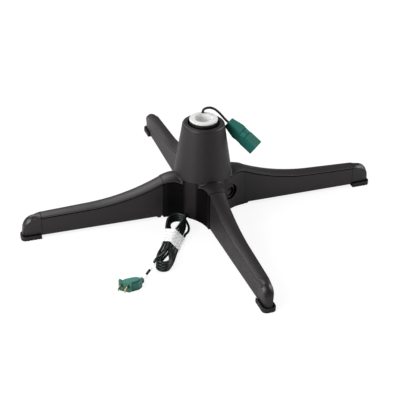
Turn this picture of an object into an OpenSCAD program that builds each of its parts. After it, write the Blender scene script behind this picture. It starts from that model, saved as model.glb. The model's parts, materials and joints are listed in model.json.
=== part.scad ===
// Rotating stand for an artificial christmas tree.
// A star-shaped hub carries four plug-in legs and a tapered cover.  A geared motor under the
// hub's deck turns a pole socket on a thrust bearing, and slip rings feed the outlet on top.
// Millimetres.  +Z is the turning axis, z = 0 the floor, +X runs along one leg.

/* [Base] */
// Distance from the turning axis to the outer end of each foot
foot_reach = 360; // [345:1:400]
// Distance from the turning axis to the joints between the hub and the legs
joint_r = 83.5; // [82:0.5:92]
// Width of the hub's four stub arms
arm_w = 32; // [31:0.5:34]
// Radius of the hollow corners between the arms
corner_r = 70; // [66:1:74]
// Height of the hub's lower edge above the floor
hub_clear = 5; // [4.5:0.25:6]
// Height of the hub's flat deck
deck_z = 91; // [90:0.5:96]
// Ridge height of a stub arm beside the cover
stub_root_z = 90.4; // [89.6:0.1:90.8]
// Ridge height of a stub arm at the joint
stub_end_z = 85.2; // [84.8:0.1:86]
// Wall of the moulded base parts
base_wall = 3; // [2.6:0.1:3.4]
// Radius of the rounded top of arms, legs and caps, seen along the leg
crown_r = 40; // [36:1:60]
// Depth of the lip that the top of arms, legs and caps forms over their sides
lip_h = 2.6; // [2:0.1:3.4]
// Overhang of that lip
lip_out = 0.8; // [0.5:0.1:1]
// Width of the shadow gap between the plugged parts
seam_w = 0.6; // [0.4:0.1:0.8]

/* [Legs] */
// Width of a leg at the hub
leg_hub_w = 29.2; // [28.6:0.2:30.4]
// Width of a leg at its cap
leg_foot_w = 20.4; // [19.6:0.2:22]
// Ridge height of a leg at the hub
leg_hub_z = 84.6; // [83.6:0.2:85]
// Ridge height of a leg at its cap
leg_foot_z = 47.5; // [44:0.5:52]
// Fall of the straight outer part of the ridge, in degrees
leg_slope = 2; // [1:0.25:3]
// Bend radius of the hollow curve of the ridge
leg_bend_r = 376; // [360:4:400]
// Height of a leg's lower edge at the hub
leg_low_in = 8; // [7.8:0.1:9]
// Height of a leg's lower edge at its cap
leg_low_out = 6.3; // [5.8:0.1:7]
// Length of foot that the cap and pad take up
cap_len = 40; // [36:0.5:42]
// Clearance of plugged and seated parts
seat_gap = 0.3; // [0.2:0.05:0.4]

/* [Feet] */
// Height of the rubber pad's rim
pad_h = 8.5; // [8:0.25:12]
// Thickness of the pad under the cap
pad_floor = 4.5; // [3.5:0.25:5]
// Wall of the pad
pad_wall = 2.5; // [2:0.1:3]
// Rounding radius of the cap's nose, seen from the side
nose_r = 22; // [18:1:26]

/* [Cover] */
// Radius of the cover at its base
cover_base_r = 55.6; // [55.4:0.1:58]
// Radius of the cover below its shoulder
cover_top_r = 40.6; // [40:0.2:44]
// Height of the cover
cover_h = 100; // [96:1:110]
// Wall of the cover
cover_wall = 3; // [2.4:0.2:3.6]
// Rounding radius of the cover's shoulder
shoulder_r = 4; // [3:0.5:6]

/* [Pole socket] */
// Diameter of the tree pole that the socket takes
pole_d = 31.75; // [28:0.25:33]
// Radial clearance round the pole
pole_gap = 0.375; // [0.25:0.025:0.6]
// Outer radius of the turning sleeve
sleeve_r = 27; // [26.4:0.1:27.4]
// Wall of the turning sleeve
sleeve_wall = 2.7; // [2:0.1:3]
// Height of the sleeve's rim above the cover
sleeve_show = 5; // [4:0.5:8]
// Thickness of the pole bushing's flange
flange_t = 4.3; // [3.5:0.1:6]
// Wall of the bushing's bore
bush_wall = 3; // [2.4:0.1:3.2]
// Angle of the turning cord's hole round the socket
slot_angle = 75; // [60:1:88]
// Width of the opening for the wires under the pole stop
slot_w = 6.6; // [6:0.1:7.4]

/* [Drive] */
// Tooth size of the gears, as pitch diameter per tooth
gear_module = 1; // [0.98:0.01:1.02]
// Teeth on the large drive gear
gear_teeth = 60; // [58:1:62]
// Teeth on the motor pinion
pinion_teeth = 12; // [12:1:13]
// Thickness of the drive gear
gear_t = 6; // [5:0.5:8]
// Ball diameter of the thrust bearing
ball_d = 5; // [4.6:0.1:5.4]
// Number of bearing balls
ball_count = 16; // [12:1:18]
// Radius of the ball circle
ball_circle_r = 20; // [19.6:0.1:20.4]
// Outer radius of the motor's can
motor_r = 22.5; // [21.5:0.25:23]
// Depth of the motor's can
motor_h = 22; // [18:1:30]
// Radius of the motor's shaft
shaft_r = 3.5; // [3:0.1:3.8]
// Outer radius of the slip-ring spindle
spindle_r = 7; // [6.8:0.1:7.4]
// Clearance of a running fit
run_gap = 0.06; // [0.04:0.01:0.09]

/* [Switch] */
// Height of the rocker switch's centre
switch_z = 44; // [38:1:50]
// Radius of the round recess that holds the switch
recess_r = 16; // [15.5:0.1:16.5]
// Depth of that recess
recess_depth = 5; // [4:0.25:6]
// Radius of the switch's bezel
bezel_r = 13.5; // [13.2:0.1:14.4]
// Radius of the rocker
rocker_r = 9.8; // [9:0.1:10]
// Turn of the rocker from one side to the other, in degrees
rocker_turn = 16; // [12:1:18]

/* [Cords and plugs] */
// Diameter of the cords
cord_d = 4.8; // [4.4:0.1:5]
// Width of the square outlet block
tap_w = 24; // [22:0.5:26]
// Length of the outlet block
tap_len = 72; // [66:1:80]
// Distance between the two blades of a plug or outlet
blade_pitch = 12.7; // [12:0.1:13]
// Height of the supply plug
plug_h = 20; // [19:0.5:24]
// Number of loops in the tied hank
hank_loops = 4; // [3:1:4]

/* [Hidden] */
$fn = 96;
eps = 0.02;

leg_angles = [0, 90, 180, 270];

// ---- gears: distance between their axes
gear_pitch_r = gear_module * gear_teeth / 2;
pinion_pitch_r = gear_module * pinion_teeth / 2;
gear_centres = gear_pitch_r + pinion_pitch_r;

// ---- hub: derived values
motor_room = 1.5;
seam_depth = 1;
corner_off = arm_w / 2 + corner_r;
deck_under = deck_z - base_wall;
flange_r = cover_base_r - 0.4;
arm_run = joint_r - flange_r;
arm_drop = stub_root_z - stub_end_z;
arm_bend_r = (arm_run * arm_run + arm_drop * arm_drop) / (2 * arm_drop);
socket_half = arm_w / 2 - base_wall;
socket_floor = hub_clear + base_wall;
socket_roof = stub_end_z - 6.2;
cavity_r = gear_centres + motor_r + motor_room;
socket_r = cavity_r + base_wall;
tongue_r = socket_r + 0.5;
tongue_len = joint_r - tongue_r;
arm_roof = stub_root_z - 8.4;
diag_wall_r = corner_off * sqrt(2) - corner_r;
post_r = 4.5;
post_at = cavity_r - post_r + 0.6;
post_h = 20;
plate_t = 2.5;
screw_r = 1.5;
screw_head_r = 3;
screw_head_t = 1.6;
cover_screw_at = diag_wall_r - base_wall - screw_head_r - 1.4;
cover_boss_r = 4.5;
cover_boss_h = 14;

// ---- leg: derived values
leg_end = foot_reach - cap_len;
leg_span = leg_end - joint_r;
ridge_rise = (leg_hub_z - leg_foot_z - leg_span * tan(leg_slope)) * cos(leg_slope);
ridge_foot = -(leg_span * cos(leg_slope) + (leg_hub_z - leg_foot_z) * sin(leg_slope));
bend_start = ridge_foot + sqrt(2 * leg_bend_r * ridge_rise - ridge_rise * ridge_rise);
rib_at = [for (k = [1 : 3]) joint_r + leg_span * k / 4];
rib_t = 2.2;

// ---- latch: derived values
latch_pivot_r = joint_r + 16.5;
latch_pivot_z = 12;
latch_pin_r = 1.5;
latch_half = socket_half - base_wall - seat_gap - 0.7;
tooth_low = 2;
window_in = joint_r - 12;
window_out = joint_r - 3.2;

// ---- foot: derived values
pad_in_r = leg_end + 2;
pad_half = leg_foot_w / 2 + seat_gap + pad_wall;
cap_tip = foot_reach - pad_wall - seat_gap;
cap_corner_r = 6;
cap_lean = 2.2;

// ---- bearing and drive stack: heights from the deck upwards
race_t = 2;
groove_d = 0.55;
ball_r = ball_d / 2;
ball_z = deck_z + race_t - groove_d + ball_r + run_gap;
race_up_z = ball_z + ball_r + run_gap - groove_d;
race_in_r = ball_circle_r - 5;
race_out_r = ball_circle_r + 5;
gear_z = race_up_z + race_t;
gear_top = gear_z + gear_t;
backlash = 0.3;
cover_top = deck_z + cover_h;
sleeve_top = cover_top + sleeve_show;
sleeve_in_r = sleeve_r - sleeve_wall;
sleeve_floor = 4;
cup_z = gear_top + sleeve_floor;
pole_r = pole_d / 2 + pole_gap;
bush_r = pole_r + bush_wall;
bush_fit_r = sleeve_in_r - 0.1;
stop_z = cup_z + 9;
stop_t = 2.5;
bush_top = sleeve_top + flange_t;
funnel_h = 6;
collar_h = 6;
funnel_r = pole_r + 1.2;
spindle_bore = 3.4;
spindle_low = deck_z - 33;
spindle_flange_r = spindle_r + 1.6;
spindle_flange_t = 2;
ring_t = 1;
ring_z = [deck_z - 28, deck_z - 19];
ring_h = 5;
clip_z = deck_z - 6.6;
clip_t = 1.2;
clip_groove = 0.8;
bushing_low_z = deck_z - 5;
bushing_low_r = spindle_r + 3.5;
bushing_rim_r = bushing_low_r + 1.6;
gear_screw_at = race_in_r - 3.6;
cord_r = cord_d / 2;
cord_path_r = (bush_r + sleeve_in_r) / 2;
cord_hole_r = cord_r + 0.2;

// ---- gear motor: can under the arm roof, neck up to the deck, ears with the two screws
motor_top = arm_roof - seat_gap;
motor_neck_r = flange_r - base_wall - gear_centres - 0.7;
motor_ear_r = 3.6;
motor_ear_at = motor_r + motor_ear_r;
motor_ear_t = 1.5;
shaft_low = 8;

// ---- brushes that feed the slip rings
brush_in = spindle_r + ring_t + 0.3;
brush_w = 4;
brush_h = 3.4;
brush_seat = 8.9;
block_near = bushing_rim_r + seat_gap;
block_depth = 14;
block_half = 8;
block_low = ring_z[0] - 3;

// ---- upper bushing seat in the cover
seat_r = sleeve_r + 3.5;
seat_top = cover_top - 5;
seat_low = cover_top - 17;
ledge_t = 2;
boss_wall = 3;

// ---- switch: place on the hollow wall between the right and front arms
switch_t = 120;
switch_x = corner_off + corner_r * cos(switch_t);
switch_y = -corner_off + corner_r * sin(switch_t);
recess_wall = 2;
bezel_t = 2;
barrel_r = bezel_r - 1;
barrel_depth = 13;
rocker_hole_r = rocker_r + 0.6;
rocker_pin_r = 1.2;
rocker_seat = 2.5;

// ---- supply lead: place of its gland in the hollow wall between the left and front arms
gland_t = 53;
gland_x = -corner_off + corner_r * cos(gland_t);
gland_y = -corner_off + corner_r * sin(gland_t);
gland_z = 10;
gland_r = 4.8;
gland_nose = 6;

// ---- turning cord: gland in the bushing's slot, wires inside the socket, outlet block
slot_gland_top = sleeve_top - 8;
slot_gland_h = 12;
slot_gland_half = 2.8;
wire_r = 1.6;
wire_bend = 5;
tap_at = [53.5, 9.3, 178.7];
tap_tilt = [13.2, 35.3, -43.5];
tap_dir = [
    cos(tap_tilt.y) * cos(tap_tilt.z), cos(tap_tilt.y) * sin(tap_tilt.z), -sin(tap_tilt.y)
];
tap_taper = 24;
tap_chamfer = 1.6;
tap_recess = 2.4;

// ---- plug of the supply lead: middle of its face on the floor, its turn, and the cord's entry
plug_face = [-220.4, -224];
plug_turn = 51.8;
plug_entry = [26, -18.5, 7];
plate_half = 12;
plate_depth = 4;
blade_t = 1.5;
blade_h = 6.4;
blade_z = 9.6;
blade_out = 16;
blade_in = 7;
band_inset = 1.4;
band_t = 1.1;
band_gap = 0.35;

// ---- hank of the supply lead: s runs along it away from the hub, v across it to the left
hank_mid = [-95.5, -107.5];
hank_turn = 240.3;
hank_dir = [cos(hank_turn), sin(hank_turn)];
hank_side = [sin(hank_turn), -cos(hank_turn)];
hank_up = 68;
hank_low = 92;
up_r = 15;
low_r = 11.5;
waist_half = 6;
up_lean = 2;
strand_step = cord_d + 0.5;
shingle = 50;
waist_z = 4;
tail_lift = 5;
floor_z = cord_r + 0.1;
run_s = [-48, -24, 6, 34, 62];
first_step = 1;
last_step = 24 * hank_loops + 3;
hank_last = last_step - first_step;
wrap_s = [-21, 6, 21];
wrap_in = 0.6;
wrap_out = 1.3;

// Smooth step from 0 to 1
function ease(x) = let (c = min(1, max(0, x))) c * c * (3 - 2 * c);

// ---- swept tubes -------------------------------------------------------------------------

function unit(v) = v / norm(v);

// Direction of a route at point k
function heading(p, k) =
    unit(p[min(k + 1, len(p) - 1)] - p[max(k - 1, 0)]);

// One ring of a tube, square to the route, with its first side turned towards ref
function tube_ring(p, k, r, sides, ref) =
    let (t = heading(p, k), a = unit(cross(t, ref)), b = cross(t, a))
    [for (j = [0 : sides - 1]) p[k] + r * (cos(360 * j / sides) * a + sin(360 * j / sides) * b)];

// Closed tube along the points p
module tube(p, r, sides, ref) {
    n = len(p);
    rings = [for (k = [0 : n - 1]) each tube_ring(p, k, r, sides, ref)];
    walls = [
        for (k = [0 : n - 2], j = [0 : sides - 1])
        let (a = k * sides + j, b = k * sides + (j + 1) % sides)
        each [[a, b + sides, b], [a, a + sides, b + sides]]
    ];
    low_cap = [for (j = [1 : sides - 2]) [0, j, j + 1]];
    high_cap = [for (j = [1 : sides - 2]) [0, j + 1, j] + (n - 1) * sides * [1, 1, 1]];
    polyhedron(rings, concat(walls, low_cap, high_cap));
}

// ---- hub and cover -----------------------------------------------------------------------

// Plan of the hub, moved inwards by inset and cut off square at reach
module star_plan(inset, reach) {
    difference() {
        square(2 * reach, center = true);
        for (a = [45 : 90 : 315])
            rotate(a) translate([corner_off * sqrt(2), 0]) circle(corner_r + inset);
    }
}

// Barrel whose top is the curved and crowned top of one arm
module arm_barrel() {
    translate([flange_r, 0, stub_root_z - arm_bend_r])
    rotate([90, 0, 0])
    rotate_extrude()
    intersection() {
        union() {
            translate([arm_bend_r - crown_r, 0]) circle(crown_r);
            translate([0, -crown_r]) square([max(1, arm_bend_r - crown_r), 2 * crown_r]);
        }
        translate([0, -crown_r]) square([arm_bend_r + 1, 2 * crown_r]);
    }
}

module hub_outside() {
    arm_from = flange_r * 0.68;
    arm_half = flange_r * 0.66;
    for (a = leg_angles)
        rotate(a)
        intersection() {
            translate([0, 0, hub_clear])
            linear_extrude(deck_z - hub_clear)
            intersection() {
                star_plan(0, joint_r);
                translate([arm_from, -arm_half]) square([joint_r, 2 * arm_half]);
            }
            arm_barrel();
        }
    translate([0, 0, hub_clear])
    linear_extrude(deck_z - hub_clear)
    intersection() {
        star_plan(0, joint_r);
        circle(flange_r);
    }
    translate([0, 0, deck_under]) cylinder(h = base_wall, r = flange_r);
}

// Puts its children at the switch, with +Z out of the wall
module at_switch() {
    translate([switch_x, switch_y, switch_z])
    rotate([0, 0, switch_t + 180])
    rotate([0, 90, 0])
    children();
}

// Puts its children at the supply lead's gland, with +X out of the wall
module at_gland() {
    translate([gland_x, gland_y, gland_z]) rotate([0, 0, gland_t + 180]) children();
}

module latch_window() {
    translate([window_in, -latch_half - 0.6, hub_clear - 1])
    cube([window_out - window_in, 2 * latch_half + 1.2, base_wall + 2]);
}

module hub() {
    color([0.13, 0.13, 0.14])
    difference() {
        union() {
            difference() {
                hub_outside();
                intersection() {
                    linear_extrude(deck_z) difference() {
                        square(3 * joint_r, center = true);
                        star_plan(lip_out, 2 * joint_r);
                    }
                    translate([0, 0, -lip_h]) hub_outside();
                }
                translate([0, 0, -1])
                linear_extrude(deck_under + 1)
                intersection() {
                    star_plan(base_wall, cavity_r);
                    circle(flange_r - base_wall);
                }
                translate([0, 0, -1])
                linear_extrude(arm_roof + 1)
                star_plan(base_wall, cavity_r);
            }
            for (a = leg_angles)
                rotate(a)
                translate([post_at, 0, hub_clear + plate_t]) cylinder(h = post_h, r = post_r);
            intersection() {
                at_switch()
                translate([0, 0, -recess_depth - recess_wall])
                cylinder(h = recess_depth + recess_wall, r = recess_r + recess_wall);
                linear_extrude(deck_under) star_plan(0, joint_r);
            }
        }
        for (a = leg_angles)
            rotate(a) {
                translate([post_at, 0, hub_clear]) cylinder(h = post_h - 2, r = screw_r - 0.2);
                translate([socket_r, -socket_half, socket_floor])
                cube([tongue_len + 2, 2 * socket_half, socket_roof - socket_floor]);
                latch_window();
            }
        at_switch() {
            translate([0, 0, -recess_depth]) cylinder(h = recess_depth + 12, r = recess_r);
            translate([0, 0, -recess_depth - recess_wall - 1])
            cylinder(h = recess_wall + 2, r = barrel_r + 0.2);
        }
        at_gland() {
            translate([-base_wall - 4, 0, 0])
            rotate([0, 90, 0]) cylinder(h = base_wall + 8, r = gland_r + 0.2);
            translate([-base_wall - 4, -gland_r - 0.2, -gland_z])
            cube([base_wall + 8, 2 * gland_r + 0.4, gland_z]);
        }
        translate([0, 0, deck_under - 1]) cylinder(h = base_wall + 2, r = bushing_low_r);
        translate([0, gear_centres, deck_under - 1]) cylinder(h = base_wall + 2, r = shaft_r + 2);
        for (a = [45 : 90 : 315])
            rotate(a)
            translate([cover_screw_at, 0, deck_under - 1])
            cylinder(h = base_wall + 2, r = screw_r + 0.2);
        for (x = [-1, 1])
            translate([x * motor_ear_at, gear_centres, deck_under - 1])
            cylinder(h = base_wall - 0.5 + 1, r = screw_r + 0.1);
    }
}

// Half section of the cover
module cover_section() {
    lean = (cover_base_r - cover_top_r) / (cover_h - shoulder_r);
    in_base = cover_base_r - cover_wall;
    in_top = cover_top_r - cover_wall + 0.2;
    boss_r = seat_r + boss_wall;
    difference() {
        polygon(concat(
            [[seat_r, deck_z], [cover_base_r, deck_z], [cover_top_r, cover_top - shoulder_r]],
            [for (a = [10 : 10 : 90])
                [cover_top_r - shoulder_r + shoulder_r * cos(a),
                 cover_top - shoulder_r + shoulder_r * sin(a)]],
            [[seat_r, cover_top]]
        ));
        polygon([
            [seat_r - 1, deck_z - 1], [in_base + lean, deck_z - 1],
            [in_top, cover_top - cover_wall - 1], [in_top - 1, cover_top - cover_wall],
            [boss_r, cover_top - cover_wall], [boss_r, seat_low - ledge_t], [seat_r - 1, seat_low - ledge_t]
        ]);
    }
    translate([sleeve_r + 1, seat_low - ledge_t]) square([boss_r - sleeve_r - 1, ledge_t]);
}

module cone_cover() {
    color([0.15, 0.15, 0.16])
    difference() {
        union() {
            rotate_extrude() cover_section();
            for (a = [45 : 90 : 315])
                rotate(a)
                {
                    translate([cover_screw_at, 0, deck_z])
                    cylinder(h = cover_boss_h, r = cover_boss_r);
                    translate([cover_screw_at, -1.2, deck_z])
                    cube([cover_base_r - cover_wall + 0.4 - cover_screw_at, 2.4, cover_boss_h - 1]);
                }
            for (a = [0 : 45 : 315])
                rotate(a)
                translate([seat_r + 1, -1, seat_low])
                cube([cover_top_r - cover_wall - seat_r - 0.4, 2, cover_top - cover_wall - seat_low + 1]);
        }
        for (a = [45 : 90 : 315])
            rotate(a)
            translate([cover_screw_at, 0, deck_z - 1])
            cylinder(h = cover_boss_h - 2, r = screw_r - 0.2);
    }
}

module bottom_plate() {
    color([0.12, 0.12, 0.13])
    difference() {
        translate([0, 0, hub_clear])
        linear_extrude(plate_t)
        star_plan(base_wall + seat_gap, cavity_r - seat_gap);
        for (a = leg_angles)
            rotate(a)
            translate([post_at, 0, hub_clear - 1]) cylinder(h = plate_t + 2, r = screw_r + 0.2);
        for (x = [-24 : 8 : 24])
            translate([x - 1.5, -12, hub_clear - 1]) cube([3, 24, plate_t + 2]);
        at_gland()
        rotate([0, 90, 0])
        translate([0, 0, -base_wall - 4]) cylinder(h = base_wall + 4, r = gland_r + seat_gap);
    }
}

// Pan-head screw with its head below z = 0 and its shank above
module screw(length) {
    translate([0, 0, -screw_head_t]) cylinder(h = screw_head_t, r = screw_head_r);
    translate([0, 0, -eps]) cylinder(h = length + eps, r = screw_r - 0.25);
}

module bottom_screws() {
    color("silver")
    for (a = leg_angles)
        rotate(a) translate([post_at, 0, hub_clear]) screw(12);
}

module cover_screws() {
    color("silver")
    for (a = [45 : 90 : 315])
        rotate(a) translate([cover_screw_at, 0, deck_under]) screw(base_wall + 8);
}

// ---- drive under and on the deck -----------------------------------------------------------

module gear_motor() {
    color([0.72, 0.73, 0.75])
    translate([0, gear_centres, 0])
    difference() {
        union() {
            translate([0, 0, motor_top - motor_h]) cylinder(h = motor_h, r = motor_r);
            translate([0, 0, motor_top - eps])
            cylinder(h = deck_under - motor_top + eps, r = motor_neck_r);
            for (x = [-1, 1]) {
                translate([x * motor_ear_at, 0, deck_under - motor_ear_t])
                cylinder(h = motor_ear_t, r = motor_ear_r);
                translate([min(0, x * motor_ear_at), -motor_ear_r, deck_under - motor_ear_t])
                cube([motor_ear_at, 2 * motor_ear_r, motor_ear_t]);
            }
        }
        translate([0, 0, deck_under - shaft_low]) cylinder(h = shaft_low + 1, r = shaft_r + run_gap);
        for (x = [-1, 1])
            translate([x * motor_ear_at, 0, deck_under - motor_ear_t - 1])
            cylinder(h = motor_ear_t + 2, r = screw_r + 0.1);
    }
}

module motor_screws() {
    color("silver")
    for (x = [-1, 1])
        translate([x * motor_ear_at, gear_centres, deck_under - motor_ear_t])
        screw(motor_ear_t + base_wall - 0.9);
}

module motor_shaft() {
    color("silver")
    translate([0, gear_centres, deck_under - shaft_low + 0.3])
    cylinder(h = gear_top - deck_under + shaft_low, r = shaft_r);
}

// Flat gear with rack-form teeth; tip and root are in tooth sizes
module gear_plan(teeth, tip, root) {
    r = gear_module * teeth / 2;
    half = (PI * gear_module - backlash) / 4 / r * 180 / PI;
    function side(h) = half - h * gear_module * tan(20) / r * 180 / PI;
    function at(h, a) = (r + h * gear_module) * [cos(a), sin(a)];
    polygon([
        for (k = [0 : teeth - 1])
        let (c = 360 * k / teeth)
        each [
            at(-root, c - side(-root)), at(-0.5, c - side(-0.5)), at(0, c - side(0)),
            at(0.5, c - side(0.45)), at(tip, c - side(tip) + 0.12 * (tip > 0.9 ? 1 : 0)),
            at(tip, c + side(tip) - 0.12 * (tip > 0.9 ? 1 : 0)), at(0.5, c + side(0.45)),
            at(0, c + side(0)), at(-0.5, c + side(-0.5)), at(-root, c + side(-root))
        ]
    ]);
}

module motor_pinion() {
    color([0.93, 0.92, 0.86])
    translate([0, gear_centres, gear_z])
    difference() {
        rotate(270 + 180 / pinion_teeth) linear_extrude(gear_t) gear_plan(pinion_teeth, 0.85, 1.15);
        translate([0, 0, -1]) cylinder(h = gear_t + 2, r = shaft_r + 0.03);
    }
}

module drive_gear() {
    color([0.93, 0.92, 0.86])
    translate([0, 0, gear_z])
    difference() {
        rotate(90) linear_extrude(gear_t) gear_plan(gear_teeth, 0.85, 1.15);
        translate([0, 0, -1]) cylinder(h = gear_t + 2, r = spindle_r + 0.05);
        for (a = [0 : 120 : 240])
            rotate(a)
            translate([gear_screw_at, 0, -1]) cylinder(h = gear_t + 2, r = screw_r + 0.1);
    }
}

module gear_screws() {
    color("silver")
    for (a = [0 : 120 : 240])
        rotate(a) translate([gear_screw_at, 0, gear_z]) screw(gear_t + sleeve_floor - 1);
}

module race(z) {
    translate([0, 0, z])
    difference() {
        cylinder(h = race_t, r = race_out_r);
        translate([0, 0, -1]) cylinder(h = race_t + 2, r = race_in_r);
        children();
    }
}

module ball_groove() {
    rotate_extrude() translate([ball_circle_r, 0]) circle(ball_r + run_gap);
}

module thrust_race_lower() {
    color("silver")
    difference() {
        race(deck_z);
        translate([0, 0, ball_z]) ball_groove();
    }
}

module thrust_race_upper() {
    color("silver")
    difference() {
        race(race_up_z);
        translate([0, 0, ball_z]) ball_groove();
    }
}

module ball_cage() {
    color([0.85, 0.78, 0.55])
    translate([0, 0, ball_z])
    difference() {
        translate([0, 0, -0.8]) cylinder(h = 1.6, r = race_out_r - 1.2);
        translate([0, 0, -1]) cylinder(h = 2, r = race_in_r + 1.2);
        for (k = [0 : ball_count - 1])
            rotate(360 * k / ball_count)
            translate([ball_circle_r, 0, -1]) cylinder(h = 2, r = ball_r + run_gap);
    }
}

module thrust_balls() {
    color("silver")
    for (k = [0 : ball_count - 1])
        rotate(360 * k / ball_count) translate([ball_circle_r, 0, ball_z]) sphere(ball_r);
}

module lower_bushing() {
    color([0.9, 0.88, 0.8])
    difference() {
        union() {
            translate([0, 0, bushing_low_z]) cylinder(h = deck_z - bushing_low_z, r = bushing_low_r - 0.05);
            translate([0, 0, bushing_low_z])
            cylinder(h = deck_under - bushing_low_z, r = bushing_rim_r);
        }
        translate([0, 0, bushing_low_z - 1])
        cylinder(h = deck_z - bushing_low_z + 2, r = spindle_r + run_gap);
    }
}

module upper_bushing() {
    color([0.11, 0.11, 0.12])
    translate([0, 0, seat_low])
    difference() {
        cylinder(h = seat_top - seat_low, r = seat_r - 0.1);
        translate([0, 0, -1]) cylinder(h = seat_top - seat_low + 2, r = sleeve_r + run_gap);
    }
}

// ---- slip rings and brushes ----------------------------------------------------------------

module spindle() {
    color([0.55, 0.33, 0.16])
    difference() {
        union() {
            translate([0, 0, spindle_low]) cylinder(h = gear_top - spindle_low + eps, r = spindle_r);
            translate([0, 0, gear_top]) cylinder(h = spindle_flange_t, r = spindle_flange_r);
        }
        translate([0, 0, spindle_low - 1])
        cylinder(h = gear_top + spindle_flange_t - spindle_low + 2, r = spindle_bore);
        translate([0, 0, clip_z])
        difference() {
            cylinder(h = clip_t + 0.1, r = spindle_r + 1);
            translate([0, 0, -1]) cylinder(h = clip_t + 3, r = spindle_r - clip_groove);
        }
    }
}

module slip_rings() {
    color([0.8, 0.5, 0.28])
    for (z = ring_z)
        translate([0, 0, z])
        difference() {
            cylinder(h = ring_h, r = spindle_r + ring_t);
            translate([0, 0, -1]) cylinder(h = ring_h + 2, r = spindle_r + 0.03);
        }
}

module spindle_clip() {
    color("silver")
    translate([0, 0, clip_z + 0.05])
    difference() {
        cylinder(h = clip_t, r = bushing_low_r);
        translate([0, 0, -1]) cylinder(h = clip_t + 2, r = spindle_r - clip_groove + 0.05);
        translate([0, -3, -1]) cube([bushing_low_r + 1, 6, clip_t + 2]);
    }
}

module brush_block() {
    color([0.2, 0.2, 0.22])
    difference() {
        translate([-block_half, -block_near - block_depth, block_low])
        cube([2 * block_half, block_depth, deck_under - block_low]);
        for (z = ring_z)
            translate([
                -brush_w / 2 - 0.1, -block_near - brush_seat - 0.1, z + (ring_h - brush_h) / 2 - 0.1
            ])
            cube([brush_w + 0.2, brush_seat + 1.1, brush_h + 0.2]);
    }
}

module brushes() {
    color([0.75, 0.5, 0.3])
    for (z = ring_z)
        translate([-brush_w / 2, -block_near - brush_seat, z + (ring_h - brush_h) / 2])
        cube([brush_w, brush_seat + block_near - brush_in, brush_h]);
}

// ---- turning pole socket -------------------------------------------------------------------

module pole_sleeve() {
    color([0.1, 0.1, 0.11])
    difference() {
        translate([0, 0, gear_top]) cylinder(h = sleeve_top - gear_top, r = sleeve_r);
        translate([0, 0, cup_z]) cylinder(h = sleeve_top - cup_z + 1, r = sleeve_in_r);
        translate([0, 0, gear_top - 1])
        cylinder(h = spindle_flange_t + 1.1, r = spindle_flange_r + 0.1);
        translate([0, 0, gear_top]) cylinder(h = sleeve_floor + 1, r = spindle_bore);
        for (a = [0 : 120 : 240])
            rotate(a)
            translate([gear_screw_at, 0, gear_top - 1])
            cylinder(h = sleeve_floor + 0.2, r = screw_r - 0.2);
    }
}

module pole_bushing() {
    rib_count = 8;
    color([0.95, 0.95, 0.94])
    difference() {
        union() {
            translate([0, 0, cup_z]) cylinder(h = sleeve_top - cup_z + 1, r = bush_r);
            for (k = [0 : rib_count - 1])
                rotate(slot_angle + 22.5 + 360 * k / rib_count)
                translate([0, -1.1, cup_z]) cube([bush_fit_r - 0.15, 2.2, sleeve_top - cup_z]);
            translate([0, 0, sleeve_top - collar_h]) cylinder(h = collar_h + eps, r = bush_fit_r);
            translate([0, 0, sleeve_top])
            rotate_extrude()
            polygon(concat(
                [[0, 0], [sleeve_r - 1.4, 0], [sleeve_r - 1.4, 0.9], [sleeve_r - 0.1, 0.9],
                 [sleeve_r - 0.1, flange_t - 1.6]],
                [for (a = [15 : 15 : 90])
                    [sleeve_r - 1.7 + 1.6 * cos(a), flange_t - 1.6 + 1.6 * sin(a)]],
                [[0, flange_t]]
            ));
        }
        translate([0, 0, stop_z + stop_t]) cylinder(h = bush_top - stop_z, r = pole_r);
        translate([0, 0, cup_z - 1]) cylinder(h = stop_z - cup_z + 1, r = pole_r);
        translate([0, 0, bush_top - funnel_h])
        rotate_extrude()
        polygon([
            [0, 0], [pole_r, 0], [pole_r + 0.4, funnel_h * 0.55], [funnel_r, funnel_h],
            [funnel_r, funnel_h + 1], [0, funnel_h + 1]
        ]);
        rotate(slot_angle) {
            translate([cord_path_r, 0, sleeve_top - collar_h - 1])
            cylinder(h = collar_h + flange_t + 2, r = cord_hole_r);
            translate([pole_r - 2, -slot_w / 2, cup_z - 1])
            cube([bush_fit_r - pole_r + 2, slot_w, stop_z - cup_z + 0.5]);
        }
    }
}

// Rubber plug that grips the cord between the bushing's wall and the sleeve
module tree_cord_gland() {
    color([0.12, 0.3, 0.26])
    rotate(slot_angle)
    translate([bush_r + 0.2, -slot_gland_half, slot_gland_top - slot_gland_h])
    cube([sleeve_in_r - bush_r - 0.6, 2 * slot_gland_half, slot_gland_h]);
}

// Points of the wires from the spindle up to the cord's gland
function on_slot(r, z) = [r * cos(slot_angle), r * sin(slot_angle), z];
inner_route = concat(
    [[0, 0, spindle_low + 2], [0, 0, deck_z], [0, 0, cup_z - 1.5]],
    [for (a = [15 : 25 : 90]) on_slot(wire_bend * (1 - cos(a)), cup_z - 1 + wire_bend * sin(a))],
    [on_slot(10, cup_z - 1 + wire_bend)],
    [for (a = [10 : 20 : 90])
        on_slot(cord_path_r - wire_bend * (1 - sin(a)), cup_z - 1 + wire_bend * (2 - cos(a)))],
    [on_slot(cord_path_r, stop_z + 20), on_slot(cord_path_r, slot_gland_top - slot_gland_h)]
);

module inner_wires() {
    color([0.1, 0.1, 0.1])
    tube(inner_route, wire_r, 8, [-sin(slot_angle), cos(slot_angle), 0]);
}

// ---- legs, caps and pads -------------------------------------------------------------------

function leg_half(x) =
    leg_hub_w / 2 + (leg_foot_w - leg_hub_w) / 2 * (x - joint_r) / leg_span;

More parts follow.
